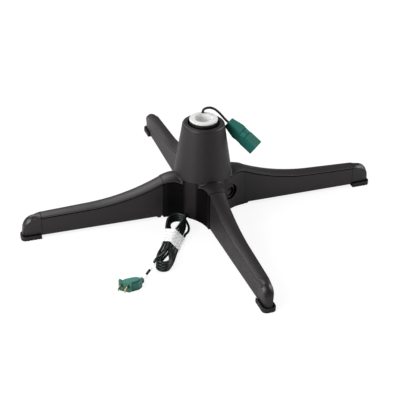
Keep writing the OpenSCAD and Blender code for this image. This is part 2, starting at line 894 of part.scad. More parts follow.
// Everything above the crowned ridge of leg and cap, lowered by drop
module above_ridge(drop) {
    reach = cap_len + 10;
    side = arm_w;
    bulge = crown_r - sqrt(crown_r * crown_r - side * side / 4);
    translate([leg_end, 0, leg_foot_z - drop])
    rotate([0, leg_slope, 0]) {
        translate([bend_start, 0, 0])
        rotate([90, 0, 90])
        linear_extrude(reach - bend_start)
        difference() {
            translate([-side / 2, -bulge]) square([side, leg_hub_z]);
            translate([0, -crown_r]) circle(crown_r);
        }
        translate([bend_start, 0, leg_bend_r])
        rotate([90, 0, 0])
        rotate_extrude($fn = 360)
        difference() {
            translate([0, -side / 2]) square([leg_bend_r + bulge, side]);
            translate([leg_bend_r + crown_r, 0]) circle(crown_r);
        }
    }
}

// Leg between two radii, with its sides moved in and its ridge lowered by inset
module leg_bar(x0, x1, inset) {
    low0 = leg_low_in + (leg_low_out - leg_low_in) * (x0 - joint_r) / leg_span;
    low1 = leg_low_in + (leg_low_out - leg_low_in) * (x1 - joint_r) / leg_span;
    difference() {
        intersection() {
            linear_extrude(leg_hub_z + 10)
            polygon([
                [x0, leg_half(x0) - inset], [x0, inset - leg_half(x0)],
                [x1, inset - leg_half(x1)], [x1, leg_half(x1) - inset]
            ]);
            translate([0, arm_w, 0])
            rotate([90, 0, 0])
            linear_extrude(2 * arm_w)
            polygon([
                [x0, low0 - (inset > 0 ? 8 : 0)], [x1, low1 - (inset > 0 ? 8 : 0)],
                [x1, leg_hub_z + 5], [x0, leg_hub_z + 5]
            ]);
        }
        above_ridge(inset);
    }
}

// Thin slabs along both sides of a leg, under the lip of its top
module side_steps(x0, x1) {
    difference() {
        linear_extrude(leg_hub_z + 10)
        for (side = [-1, 1])
            polygon([
                [x0, side * (leg_half(x0) - lip_out)], [x1, side * (leg_half(x1) - lip_out)],
                [x1, side * arm_w], [x0, side * arm_w]
            ]);
        above_ridge(lip_h);
    }
}

// Shallow step round a leg at x, which shows as a dark line at its joint
module seam(x) {
    difference() {
        translate([x - 1, -arm_w, 0]) cube([1 + seam_w, 2 * arm_w, leg_hub_z + 10]);
        leg_bar(x - 2, x + 2, seam_depth + lip_out);
    }
}

module leg() {
    tongue_half = socket_half - seat_gap;
    tongue_low = socket_floor + seat_gap;
    tongue_top = socket_roof - seat_gap;
    tunnel_half = tongue_half - base_wall;
    color([0.14, 0.14, 0.15])
    difference() {
        union() {
            difference() {
                leg_bar(joint_r, leg_end, 0);
                side_steps(joint_r - 1, leg_end + 1);
                seam(joint_r);
            }
            translate([tongue_r, -tongue_half, tongue_low])
            cube([tongue_len + 1, 2 * tongue_half, tongue_top - tongue_low]);
        }
        difference() {
            leg_bar(joint_r + base_wall, leg_end + 0.5, base_wall);
            for (x = rib_at)
                translate([x - rib_t / 2, -arm_w / 2, 0]) cube([rib_t, arm_w, leg_hub_z]);
        }
        translate([tongue_r + base_wall, -tunnel_half, -1])
        cube([tongue_len + 1, 2 * tunnel_half, tongue_top - base_wall + 1]);
        translate([latch_pivot_r, pin_half(), latch_pivot_z])
        rotate([90, 0, 0]) cylinder(h = 2 * pin_half(), r = latch_pin_r + 0.03);
    }
}

// Half length of a latch pin, with 1.5 mm of it in each side wall of the leg
function pin_half() = leg_half(latch_pivot_r) - base_wall + 1.5;

// Side view of the cap, drawn in by inset at the nose
module cap_side(inset) {
    tip = cap_tip - inset;
    nose_x = cap_tip - cap_lean - nose_r;
    nose_z = leg_foot_z - (nose_x - leg_end) * tan(leg_slope) - nose_r;
    arc_r = nose_r - inset;
    polygon(concat(
        [[leg_end, leg_low_out], [pad_in_r + seat_gap, leg_low_out],
         [pad_in_r + seat_gap, pad_floor], [tip, pad_floor], [tip, pad_h]],
        [for (a = [0 : 7.5 : 90]) [nose_x + arc_r * cos(a), nose_z + arc_r * sin(a)]],
        [[nose_x, leg_foot_z + 5], [leg_end, leg_foot_z + 5]]
    ));
}

// Plan of the cap with its sides drawn in by inset
module cap_plan(inset) {
    half = leg_foot_w / 2 - inset;
    translate([leg_end, -half]) square([cap_tip - cap_corner_r - leg_end, 2 * half]);
    translate([leg_end, inset + cap_corner_r - leg_foot_w / 2])
    square([cap_tip - leg_end, leg_foot_w - 2 * (inset + cap_corner_r)]);
    for (side = [-1, 1])
        translate([cap_tip - cap_corner_r, side * (half + inset - cap_corner_r)])
        circle(cap_corner_r - inset);
}

module cap_body(inset, drop) {
    difference() {
        intersection() {
            linear_extrude(leg_foot_z + 20) cap_plan(inset);
            translate([0, arm_w, 0]) rotate([90, 0, 0]) linear_extrude(2 * arm_w) cap_side(drop);
        }
        above_ridge(drop);
    }
}

module cap() {
    spigot_half = leg_half(leg_end) - base_wall - 0.2;
    color([0.1, 0.1, 0.11])
    union() {
        difference() {
            cap_body(0, 0);
            difference() {
                cap_body(-1, lip_h);
                linear_extrude(leg_foot_z) cap_plan(lip_out);
                translate([cap_tip - cap_corner_r, -arm_w, 0])
                cube([cap_corner_r + 1, 2 * arm_w, pad_h + 2]);
            }
            seam(leg_end);
        }
        translate([leg_end - 18, -spigot_half, leg_low_out + 1])
        cube([18 + seam_w + 1, 2 * spigot_half, leg_foot_z - base_wall - 3 - leg_low_out]);
    }
}

module foot_plan(tip, half, corner) {
    translate([pad_in_r, -half]) square([tip - corner - pad_in_r, 2 * half]);
    translate([pad_in_r, corner - half]) square([tip - pad_in_r, 2 * (half - corner)]);
    for (y = [-1, 1])
        translate([tip - corner, y * (half - corner)]) circle(corner);
}

module pad() {
    groove = 1.2;
    color([0.08, 0.08, 0.08])
    difference() {
        linear_extrude(pad_h) foot_plan(foot_reach, pad_half, cap_corner_r + pad_wall + seat_gap);
        translate([0, 0, pad_floor])
        linear_extrude(pad_h)
        union() {
            foot_plan(cap_tip + seat_gap, leg_foot_w / 2 + seat_gap, cap_corner_r + seat_gap);
            translate([pad_in_r - 1, -leg_foot_w / 2 - seat_gap]) square([4, leg_foot_w + 2 * seat_gap]);
        }
        for (x = [pad_in_r + 8 : 7 : foot_reach - 8])
            translate([x, -pad_half - 1, -1]) cube([groove, 2 * pad_half + 2, 1 + 0.8]);
    }
}

module right_leg() { rotate(leg_angles[0]) leg(); }
module back_leg() { rotate(leg_angles[1]) leg(); }
module left_leg() { rotate(leg_angles[2]) leg(); }
module front_leg() { rotate(leg_angles[3]) leg(); }
module right_cap() { rotate(leg_angles[0]) cap(); }
module back_cap() { rotate(leg_angles[1]) cap(); }
module left_cap() { rotate(leg_angles[2]) cap(); }
module front_cap() { rotate(leg_angles[3]) cap(); }
module right_pad() { rotate(leg_angles[0]) pad(); }
module back_pad() { rotate(leg_angles[1]) pad(); }
module left_pad() { rotate(leg_angles[2]) pad(); }
module front_pad() { rotate(leg_angles[3]) pad(); }

// ---- leg latches ---------------------------------------------------------------------------

// Side view of the latch: arm, sloped tooth in the stub's window and sloped press pad
module latch_side() {
    bar_low = socket_floor + 1;
    bar_top = latch_pivot_z + 1;
    tooth_out = window_out - seat_gap;
    tooth_in = tooth_out - 6;
    pad_from = joint_r + 3.2;
    polygon([
        [tooth_in, bar_top], [tooth_in, bar_low], [tooth_in + 2.5, tooth_low], [tooth_out, tooth_low],
        [tooth_out, bar_low], [pad_from, bar_low], [pad_from, tooth_low], [pad_from + 6, tooth_low],
        [pad_from + 9, tooth_low + 2.8], [pad_from + 9, bar_low], [latch_pivot_r, bar_low],
        [latch_pivot_r, bar_top]
    ]);
}

module latch() {
    eye_r = 3.6;
    eye_half = latch_half - 2;
    color([0.12, 0.12, 0.13])
    difference() {
        union() {
            translate([0, latch_half, 0])
            rotate([90, 0, 0])
            linear_extrude(2 * latch_half)
            intersection() {
                latch_side();
                translate([0, -1]) square([latch_pivot_r - eye_r - 0.4, deck_z]);
            }
            translate([0, eye_half, 0]) rotate([90, 0, 0]) linear_extrude(2 * eye_half) latch_side();
            translate([latch_pivot_r, eye_half, latch_pivot_z])
            rotate([90, 0, 0]) cylinder(h = 2 * eye_half, r = eye_r);
        }
        translate([latch_pivot_r, arm_w, latch_pivot_z])
        rotate([90, 0, 0]) cylinder(h = 2 * arm_w, r = latch_pin_r + run_gap);
    }
}

module right_latch() { rotate(leg_angles[0]) latch(); }
module back_latch() { rotate(leg_angles[1]) latch(); }
module left_latch() { rotate(leg_angles[2]) latch(); }
module front_latch() { rotate(leg_angles[3]) latch(); }

module latch_pins() {
    color("silver")
    for (a = leg_angles)
        rotate(a)
        translate([latch_pivot_r, pin_half() - 0.1, latch_pivot_z])
        rotate([90, 0, 0]) cylinder(h = 2 * pin_half() - 0.2, r = latch_pin_r);
}

// Torsion springs wound on the latch pins, beside the latch's eye
module latch_springs() {
    from = latch_half - 2 + 0.4;
    color("silver")
    for (a = leg_angles)
        rotate(a)
        translate([latch_pivot_r, -from, latch_pivot_z])
        rotate([90, 0, 0])
        difference() {
            cylinder(h = 3, r = latch_pin_r + 0.9);
            translate([0, 0, -1]) cylinder(h = 5, r = latch_pin_r + 0.1);
        }
}

// ---- switch --------------------------------------------------------------------------------

module switch_bezel() {
    color([0.08, 0.08, 0.09])
    at_switch()
    translate([0, 0, -recess_depth])
    difference() {
        union() {
            cylinder(h = bezel_t, r = bezel_r);
            translate([0, 0, -barrel_depth]) cylinder(h = barrel_depth + eps, r = barrel_r);
        }
        translate([0, 0, -barrel_depth + 4]) cylinder(h = barrel_depth + bezel_t, r = rocker_hole_r);
        translate([0, 0, -rocker_seat])
        rotate([90, 0, 0])
        cylinder(h = 2 * barrel_r - 1, r = rocker_pin_r + run_gap, center = true);
    }
}

// Rocker with its upper half pressed out, on two stub pins
module switch_rocker() {
    half_turn = rocker_turn / 2;
    face_h = bezel_t + rocker_seat + 0.2;
    low_h = 2.2;
    color([0.75, 0.1, 0.08])
    at_switch()
    translate([0, 0, -recess_depth - rocker_seat])
    rotate([0, half_turn, 0])
    union() {
        intersection() {
            translate([0, 0, -low_h]) cylinder(h = face_h + low_h + 4, r = rocker_r);
            rotate([90, 0, 0])
            linear_extrude(3 * rocker_r, center = true)
            polygon([
                [-rocker_r, -low_h], [rocker_r, -low_h],
                [rocker_r, face_h + rocker_r * tan(half_turn) - 2.6], [0, face_h - 2.6],
                [-rocker_r, face_h + rocker_r * tan(half_turn) - 2.6]
            ]);
        }
        rotate([90, 0, 0])
        cylinder(h = 2 * barrel_r - 1.6, r = rocker_pin_r, center = true);
    }
}

// ---- outlet block on the turning cord --------------------------------------------------------

module outlet_slots() {
    for (y = [-1, 1])
        translate([tap_len * 0.47, y * blade_pitch / 2 - 1, tap_w / 2 - 9]) cube([7, 2, 10]);
}

module tree_outlet() {
    nose = tap_w * 0.7;
    color([0.1, 0.36, 0.31])
    translate(tap_at)
    rotate(tap_tilt)
    difference() {
        union() {
            hull() {
                rotate([0, 90, 0])
                linear_extrude(1) square([nose - 2 * tap_chamfer, nose], center = true);
                rotate([0, 90, 0])
                linear_extrude(1) square([nose, nose - 2 * tap_chamfer], center = true);
                translate([tap_taper, 0, 0])
                rotate([0, 90, 0])
                linear_extrude(1) square([tap_w - 2 * tap_chamfer, tap_w], center = true);
                translate([tap_taper, 0, 0])
                rotate([0, 90, 0])
                linear_extrude(1) square([tap_w, tap_w - 2 * tap_chamfer], center = true);
            }
            hull() {
                translate([tap_taper, 0, 0])
                rotate([0, 90, 0])
                linear_extrude(tap_len - tap_taper) square([tap_w - 2 * tap_chamfer, tap_w], center = true);
                translate([tap_taper, 0, 0])
                rotate([0, 90, 0])
                linear_extrude(tap_len - tap_taper) square([tap_w, tap_w - 2 * tap_chamfer], center = true);
            }
        }
        for (side = [0, 180])
            rotate([side, 0, 0]) {
                translate([tap_len * 0.47 - 3, -tap_w, tap_w / 2 - tap_recess]) cube([13, 2 * tap_w, 5]);
                outlet_slots();
            }
    }
}

// Points of the cord from its gland through the flange's hole and over to the outlet block
tree_route = [
    on_slot(cord_path_r, slot_gland_top), on_slot(cord_path_r, bush_top + 2.6),
    [7, 20.9, 206.4], [10, 20.5, 208.6], [14, 20.1, 209.6], [19, 19.8, 209.5], [24, 19.4, 208],
    [29, 19, 205.2], [33.5, 18.5, 201.4], [38, 17.7, 196.8], [42.3, 16.2, 191.7],
    [46, 14.3, 187], tap_at - 5 * tap_dir, tap_at
];

module tree_cord() {
    color([0.06, 0.1, 0.09])
    tube(tree_route, cord_r, 12, [0, 1, 0]);
}

// ---- supply lead -----------------------------------------------------------------------------

// Point of the hank's own frame in the stand's frame
function hank_at(s, v, z) =
    let (p = hank_mid + s * hank_dir + v * hank_side) [p.x, p.y, z];

// Half width of a loop, sideways lean, lift and shingle angle at station s
function loop_half(s) = s < 0
    ? waist_half + (up_r - waist_half) * ease(-s / (hank_up - up_r))
    : waist_half + (low_r - waist_half) * ease(s / (hank_low - low_r));
function loop_lean(s) = s < 0 ? up_lean * ease(-s / (hank_up - up_r)) : 0;
function loop_base(s) = s < -12
    ? waist_z + tail_lift * pow((-s - 12) / (hank_up - 12), 2)
    : floor_z + (waist_z - floor_z) * (1 - ease((s - 25) / 40));
function loop_shingle(s) = shingle * (1 - ease((abs(s) - 20) / 35));

// Point of the hank with height count c at station s, own offset v
function strand(s, v, c) =
    let (a = loop_shingle(s), d = strand_step * (c - hank_loops / 2) * sin(a))
    hank_at(s, v + loop_lean(s) + d, loop_base(s) + strand_step * c * cos(a));

// One loop in 24 steps: down the right run, round the low end, up the left run, round the top
function loop_point(j) =
    let (q = j % 24)
    q < 5 ? [run_s[q], -loop_half(run_s[q])]
    : q < 12 ? let (a = 180 * (q - 5) / 6)
        [hank_low - low_r + low_r * sin(a), -low_r * cos(a)]
    : q < 17 ? [run_s[16 - q], loop_half(run_s[16 - q])]
    : let (a = 180 * (q - 17) / 6)
        [up_r - hank_up - up_r * sin(a), up_r * cos(a)];

hank_route = [
    for (j = [first_step : last_step])
    let (p = loop_point(j)) strand(p[0], p[1], j / 24)
];

// Least gap between strands of the hank, measured between its points
hank_gap = min([
    for (i = [0 : len(hank_route) - 1], k = [i + 12 : 1 : len(hank_route) - 1])
    norm(hank_route[i] - hank_route[k])
]) - cord_d;
echo(hank_gap = hank_gap);

module lead_hank() {
    color([0.06, 0.12, 0.11])
    tube(hank_route, cord_r, 6, [0, 0, 1]);
}

gland_mouth = [
    gland_x - gland_nose * cos(gland_t), gland_y - gland_nose * sin(gland_t), gland_z
];
start_route = [
    gland_mouth, gland_mouth - 3 * [cos(gland_t), sin(gland_t), 0], hank_at(-78, -8.6, 9),
    hank_at(-70, -15, 6.5), hank_at(-59, -19.8, 4.5), hank_at(-47, -20.5, 3.5),
    hank_at(-37, -17.5, 3.4), hank_route[0] - 5 * unit(hank_route[1] - hank_route[0]),
    hank_route[0]
];

module lead_start() {
    color([0.06, 0.12, 0.11])
    tube(start_route, cord_r, 8, [0, 0, 1]);
}

module lead_run() {
    color([0.06, 0.12, 0.11])
    tube(run_route, cord_r, 8, [0, 0, 1]);
}

function in_plug(p) = [
    plug_face.x + p.x * cos(plug_turn) - p.y * sin(plug_turn),
    plug_face.y + p.x * sin(plug_turn) + p.y * cos(plug_turn), p.z
];
run_route = [
    hank_route[hank_last],
    hank_route[hank_last] + 5 * unit(hank_route[hank_last] - hank_route[hank_last - 1]),
    hank_at(52, -4, 26), hank_at(65, 0.3, 27.2), hank_at(77, 5.4, 27.8), hank_at(85, 9.2, 27.4),
    hank_at(90, 11.7, 25.4), hank_at(94, 14, 21.2), hank_at(104, 19.8, 10.8),
    hank_at(113, 25, 5), hank_at(124, 29.5, 2.7), in_plug(plug_entry + [9, 0, -3]),
    in_plug(plug_entry + [4, 0, 0]), in_plug(plug_entry)
];

module cord_gland() {
    color([0.1, 0.12, 0.12])
    at_gland()
    rotate([0, 90, 0]) {
        translate([0, 0, -base_wall - 1.2]) cylinder(h = base_wall + 2.4, r = gland_r);
        translate([0, 0, -base_wall - 3]) cylinder(h = 2.4, r = gland_r - 0.4);
        cylinder(h = gland_nose, r = gland_r - 1.2);
    }
}

// Point of an outer strand of the waist at station s, on one side of the hank
function wrap_point(s, side, c) =
    let (k = s < run_s[2] ? 1 : 2, a = run_s[k], b = run_s[k + 1], t = (s - a) / (b - a))
    (1 - t) * strand(a, side * loop_half(a), c) + t * strand(b, side * loop_half(b), c);

// Film wound round the waist of the hank
module hank_wrap() {
    color([0.92, 0.92, 0.9])
    for (k = [0, 1])
        difference() {
            wrap_piece(wrap_s[k], wrap_s[k + 1], wrap_out);
            wrap_piece(wrap_s[k] - 1, wrap_s[k + 1] + 1, wrap_in);
        }
}

module wrap_piece(s0, s1, grow) {
    r = cord_r + grow;
    hull()
    for (s = [s0, s1], c = [0, hank_loops + 0.15], side = [-1, 1])
        translate(wrap_point(s, side, c))
        rotate([0, 90, hank_turn]) cylinder(h = eps, r = r, $fn = 16);
}

module cord_bands() {
    color([0.92, 0.92, 0.9])
    for (k = [7, 9]) {
        along = unit(run_route[k + 1] - run_route[k]);
        from = run_route[k] + band_inset * along;
        to = run_route[k + 1] - band_inset * along;
        difference() {
            tube([from, to], cord_r + band_t, 12, [0, 0, 1]);
            tube([from - along, to + along], cord_r + band_gap, 12, [0, 0, 1]);
        }
    }
}

// Angled plug: face plate with ears in front of a body that leans towards the lead
module lead_plug() {
    color([0.3, 0.55, 0.5])
    translate([plug_face.x, plug_face.y, 0])
    rotate(plug_turn)
    difference() {
        union() {
            rotate([90, 0, 90])
            linear_extrude(plate_depth)
            polygon([
                [-plate_half, 3], [3 - plate_half, 0], [plate_half - 3, 0], [plate_half, 3],
                [plate_half, plug_h + 2], [plate_half - 4, plug_h + 2],
                [plate_half - 5, plug_h - 1], [5 - plate_half, plug_h - 1],
                [4 - plate_half, plug_h + 2], [-plate_half, plug_h + 2]
            ]);
            linear_extrude(plug_h - 3)
            polygon([
                [plate_depth - eps, 10], [plate_depth - eps, -11.5], [14, -21], [22, -23],
                [plug_entry.x, -22.5], [plug_entry.x, -12], [21, -4], [13, 5]
            ]);
            translate([0, 0, plug_h - 3 - eps])
            linear_extrude(2 + eps)
            polygon([
                [plate_depth - eps, 8.5], [plate_depth - eps, -10], [14, -18.5], [21, -20.5],
                [plug_entry.x - 2, -19], [plug_entry.x - 2, -12], [19.5, -5], [12, 3.5]
            ]);
        }
        for (y = [-1, 1])
            translate([-1, y * blade_pitch / 2 - blade_t / 2 - 0.15, blade_z - 0.3])
            cube([blade_in + 2, blade_t + 0.3, blade_h + 0.6]);
    }
}

module plug_blades() {
    color([0.85, 0.72, 0.35])
    translate([plug_face.x, plug_face.y, 0])
    rotate(plug_turn)
    for (y = [-1, 1])
        translate([-blade_out, y * blade_pitch / 2 - blade_t / 2, blade_z])
        cube([blade_out + blade_in, blade_t, blade_h]);
}

hub();
cone_cover();
bottom_plate();
bottom_screws();
cover_screws();
gear_motor();
motor_screws();
lower_bushing();
upper_bushing();
thrust_race_lower();
brush_block();
brushes();
switch_bezel();
cord_gland();
right_leg();
back_leg();
left_leg();
front_leg();
right_cap();
back_cap();
left_cap();
front_cap();
right_pad();
back_pad();
left_pad();
front_pad();
right_latch();
back_latch();
left_latch();
front_latch();
latch_pins();
latch_springs();
pole_sleeve();
pole_bushing();
drive_gear();
thrust_race_upper();
spindle();
slip_rings();
spindle_clip();
gear_screws();
inner_wires();
tree_cord_gland();
tree_cord();
tree_outlet();
ball_cage();
thrust_balls();
motor_shaft();
motor_pinion();
switch_rocker();
lead_start();
lead_hank();
hank_wrap();
lead_run();
cord_bands();
lead_plug();
plug_blades();
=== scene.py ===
# Rotating christmas tree stand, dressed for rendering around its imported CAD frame.
import json
import math

import bmesh
import bpy
from mathutils import Matrix, Vector, geometry, noise

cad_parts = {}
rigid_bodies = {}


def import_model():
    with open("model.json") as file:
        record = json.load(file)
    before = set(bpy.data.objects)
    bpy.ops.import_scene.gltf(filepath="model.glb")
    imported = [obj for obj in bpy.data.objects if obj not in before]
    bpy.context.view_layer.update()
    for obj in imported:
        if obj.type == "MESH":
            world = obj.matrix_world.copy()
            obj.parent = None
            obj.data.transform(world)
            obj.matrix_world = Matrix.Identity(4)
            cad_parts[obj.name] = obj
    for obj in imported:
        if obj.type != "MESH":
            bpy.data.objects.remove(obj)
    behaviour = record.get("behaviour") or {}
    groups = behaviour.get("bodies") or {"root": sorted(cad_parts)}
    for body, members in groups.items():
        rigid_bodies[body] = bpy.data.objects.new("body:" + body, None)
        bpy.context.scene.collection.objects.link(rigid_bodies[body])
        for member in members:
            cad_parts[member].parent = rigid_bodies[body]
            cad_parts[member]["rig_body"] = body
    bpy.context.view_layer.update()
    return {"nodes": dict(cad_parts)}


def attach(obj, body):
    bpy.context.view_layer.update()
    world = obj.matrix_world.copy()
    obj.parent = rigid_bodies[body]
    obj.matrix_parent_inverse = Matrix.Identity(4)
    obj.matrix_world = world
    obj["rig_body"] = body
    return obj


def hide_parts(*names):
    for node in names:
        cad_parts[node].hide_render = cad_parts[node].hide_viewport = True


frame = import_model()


# Camera: the photographer stood to the left of the front leg and looked down at the stand.
# The lens, the small tilt and the shift are those that put the four feet, the cover and the
# ring where the photograph has them.
FRAME_PX = 400
FOCAL_PX = 1137.5
eye_distance = 2.2437
eye_roll = 0.0212
eye_azimuth = math.radians(-19.748)
eye_height = math.radians(31.371)
eye_back = Vector((math.sin(eye_azimuth) * math.cos(eye_height),
                   -math.cos(eye_azimuth) * math.cos(eye_height),
                   math.sin(eye_height)))
eye = bpy.data.objects.new("eye", bpy.data.cameras.new("eye"))
eye_tilt = Matrix.Rotation(eye_roll, 3, "Z")
eye.location = eye_back * eye_distance
eye.rotation_euler = (eye_back.to_track_quat("Z", "Y").to_matrix() @ eye_tilt).to_euler()
eye.data.sensor_fit = "HORIZONTAL"
eye.data.sensor_width = 36
eye.data.lens = eye.data.sensor_width * FOCAL_PX / FRAME_PX
eye.data.shift_x = -1.717 / FRAME_PX
eye.data.shift_y = 8.774 / FRAME_PX
bpy.context.scene.collection.objects.link(eye)
bpy.context.scene.camera = eye


# Supply lead: 1.65 m of round vinyl cord.  It leaves the hub through its gland, is folded into a
# hank of four loops for packing, and runs on to the plug.  One unbroken tube from gland to plug.
# The hank's own sizes are in millimetres: its two ends and the bend at each, from its middle, and
# half the width of its waist.  run_s are the stations of the knots along one side of a loop.
lead_r = 0.0024
hank_mid = Vector((-0.0955, -0.1075, 0))
hank_turn = math.radians(240.3)
hank_along = Vector((math.cos(hank_turn), math.sin(hank_turn), 0))
hank_across = Vector((math.sin(hank_turn), -math.cos(hank_turn), 0))
hank_up, hank_low, up_r, low_r, waist_half = 68, 92, 15, 11.5, 6
run_s = (-48, -24, 6, 34, 62)
hank_loops = 4
bend_knots = 7
loop_knots = 2 * (len(run_s) + bend_knots)
pile_step = 5.3
nest_step = 0.9
waist_low = 30


def ease(x):
    """A smooth step from 0 to 1 while x goes from 0 to 1."""
    c = min(1.0, max(0.0, x))
    return c * c * (3 - 2 * c)


def hank_at(s, v, z):
    """A point of the hank, from millimetres along it, across it and up."""
    return hank_mid + (hank_along * s + hank_across * v + Vector((0, 0, z))) / 1000


def loop_half(s):
    """Half the width of a loop at station s."""
    if s < 0:
        return waist_half + (up_r - waist_half) * ease(-s / (hank_up - up_r))
    return waist_half + (low_r - waist_half) * ease((s - waist_low)
                                                      / (hank_low - low_r - waist_low))


def strand(s, v, count):
    """A point of the loop that lies count loops up the pile.  The pile leans over at both ends
    of the hank, where the loops lie side by side in place of on top of one another."""
    lean = 2 * ease(-s / (hank_up - up_r)) if s < 0 else 0
    if s < -12:
        base = 4 + 5 * ((-s - 12) / (hank_up - 12)) ** 2
    else:
        base = 2.5 + 1.5 * (1 - ease((s - 25) / 40))
    shingle = math.radians(50 * (1 - ease((abs(s) - (44 if s > 0 else 26)) / 34)))
    slide = pile_step * (count - 2) * math.sin(shingle)
    nested = nest_step * count * ease((abs(s) - 40) / 40)
    return hank_at(s - math.copysign(nested, s), v + lean + slide,
                   base + pile_step * count * math.cos(shingle))


def loop_point(j):
    """Station and side offset of knot j round a loop: down one side, round the low bend, up the
    other side and round the upper bend."""
    runs = len(run_s)
    q = j % loop_knots
    if q < runs:
        return run_s[q], -loop_half(run_s[q])
    q -= runs
    if q < bend_knots:
        turn = math.pi * q / (bend_knots - 1)
        return hank_low - low_r + low_r * math.sin(turn), -low_r * math.cos(turn)
    q -= bend_knots
    if q < runs:
        return run_s[runs - 1 - q], loop_half(run_s[runs - 1 - q])
    turn = math.pi * (q - runs) / (bend_knots - 1)
    return up_r - hank_up - up_r * math.sin(turn), up_r * math.cos(turn)


hank_points = [strand(*loop_point(j), j / loop_knots)
               for j in range(1, hank_loops * loop_knots + 4)]
gland_turn = math.radians(53)
gland_out = Vector((-math.cos(gland_turn), -math.sin(gland_turn), 0))
gland_mouth = Vector((-0.0474838, -0.0348873, 0.010))
straight = 0.005
lead_start = [gland_mouth, gland_mouth + gland_out * 0.003, hank_at(-78, -8.6, 9),
              hank_at(-70, -15, 6.5), hank_at(-59, -19.8, 4.5), hank_at(-47, -20.5, 3.5),
              hank_at(-37, -17.5, 3.4),
              hank_points[0] - (hank_points[1] - hank_points[0]).normalized() * straight]
plug_face = Vector((-0.2204, -0.224, 0))
plug_turn = math.radians(51.8)


def in_plug(x, y, z):
    """A point near the plug, from millimetres behind its face, across it and up."""
    return plug_face + Matrix.Rotation(plug_turn, 3, "Z") @ Vector((x, y, z)) / 1000


hank_end = hank_points[-1]
lead_run = [hank_end + (hank_end - hank_points[-2]).normalized() * straight,
            hank_at(50, 2.2, 23.8), hank_at(64, 2.2, 27.2), hank_at(77, 5.4, 27.8),
            hank_at(85, 9.2, 27.4), hank_at(90, 11.7, 25.4), hank_at(94, 14, 21.2),
            hank_at(104, 19.8, 10.8), hank_at(113, 25, 5), hank_at(124, 29.5, 2.7),
            in_plug(35, -18.5, 4), in_plug(30, -18.5, 7), in_plug(26, -18.5, 7)]
lead_points = lead_start + hank_points + lead_run


def cord_curve(name, radius, *routes):
    """A smooth round cord through each list of points, as one curve object."""
    curve = bpy.data.curves.new(name, "CURVE")
    curve.dimensions = "3D"
    curve.bevel_depth = radius
    curve.bevel_resolution = 5
    curve.resolution_u = 6
    curve.use_fill_caps = True
    for points in routes:
        spline = curve.splines.new("BEZIER")
        spline.bezier_points.add(len(points) - 1)
        for knot, p in zip(spline.bezier_points, points):
            knot.co = p
            knot.handle_left_type = "AUTO"
            knot.handle_right_type = "AUTO"
    cord = bpy.data.objects.new(name, curve)
    bpy.context.scene.collection.objects.link(cord)
    return cord


def nodes_of(material):
    """Switches a material to nodes and returns its tree, its shader and a node maker."""
    material.use_nodes = True
    tree = material.node_tree
    shader = tree.nodes["Principled BSDF"]

    def make(kind, **settings):
        """A node with these sockets or settings."""
        node = tree.nodes.new(kind)
        for key, value in settings.items():
            if key in node.inputs:
                node.inputs[key].default_value = value
            else:
                setattr(node, key, value)
        return node
    return tree, shader, make


def moulded(name, dark, light, rough, grain, dent, patch=9.0, sheen=0.5, reach=0.007):
    """Moulded plastic or rubber: two close shades in soft patches, grain in bump and gloss,
    and painted shade in corners, grooves and gaps, which darkens the colour and dims the sheen."""
    material = bpy.data.materials.new(name)
    tree, shader, make = nodes_of(material)
    place = make("ShaderNodeTexCoord")
    clouds = make("ShaderNodeTexNoise", Scale=patch, Detail=4.0, Roughness=0.6)
    shade = make("ShaderNodeMix", data_type="RGBA")
    shade.inputs["A"].default_value = (*dark, 1)
    shade.inputs["B"].default_value = (*light, 1)
    grit = make("ShaderNodeTexNoise", Scale=grain, Detail=3.0, Roughness=0.7)
    gloss = make("ShaderNodeMapRange")
    gloss.inputs["To Min"].default_value = rough[0]
    gloss.inputs["To Max"].default_value = rough[1]
    bump = make("ShaderNodeBump", Strength=dent, Distance=0.0004)
    link = tree.links.new
    link(place.outputs["Object"], clouds.inputs["Vector"])
    link(place.outputs["Object"], grit.inputs["Vector"])
    link(clouds.outputs["Fac"], shade.inputs["Factor"])
    # Painted shade: an occlusion lookup darkens the colour and the sheen in corners and gaps.
    corner = make("ShaderNodeAmbientOcclusion", Distance=reach, samples=6)
    corner_shade = make("ShaderNodeMapRange")
    corner_shade.inputs["From Min"].default_value = 0.35
    corner_shade.inputs["From Max"].default_value = 0.85
    corner_shade.inputs["To Min"].default_value = 0.12
    shaded_colour = make("ShaderNodeVectorMath", operation="SCALE")
    shaded_sheen = make("ShaderNodeMath", operation="MULTIPLY")
    shaded_sheen.inputs[1].default_value = sheen
    link(corner.outputs["AO"], corner_shade.inputs["Value"])
    link(shade.outputs["Result"], shaded_colour.inputs[0])
    link(corner_shade.outputs["Result"], shaded_colour.inputs["Scale"])
    link(shaded_colour.outputs[0], shader.inputs["Base Color"])
    link(corner_shade.outputs["Result"], shaded_sheen.inputs[0])
    link(shaded_sheen.outputs[0], shader.inputs["Specular IOR Level"])
    link(grit.outputs["Fac"], gloss.inputs["Value"])
    link(gloss.outputs["Result"], shader.inputs["Roughness"])
    link(grit.outputs["Fac"], bump.inputs["Height"])
    link(bump.outputs["Normal"], shader.inputs["Normal"])
    return material


cord_vinyl = moulded("cord_vinyl", (0.0035, 0.009, 0.008), (0.006, 0.015, 0.013),
                     (0.24, 0.40), 700.0, 0.25, patch=25.0)
supply_lead = cord_curve("supply_lead", lead_r, lead_points)
supply_lead.data.materials.append(cord_vinyl)
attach(supply_lead, "base")
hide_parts("lead_start", "lead_hank", "lead_run")


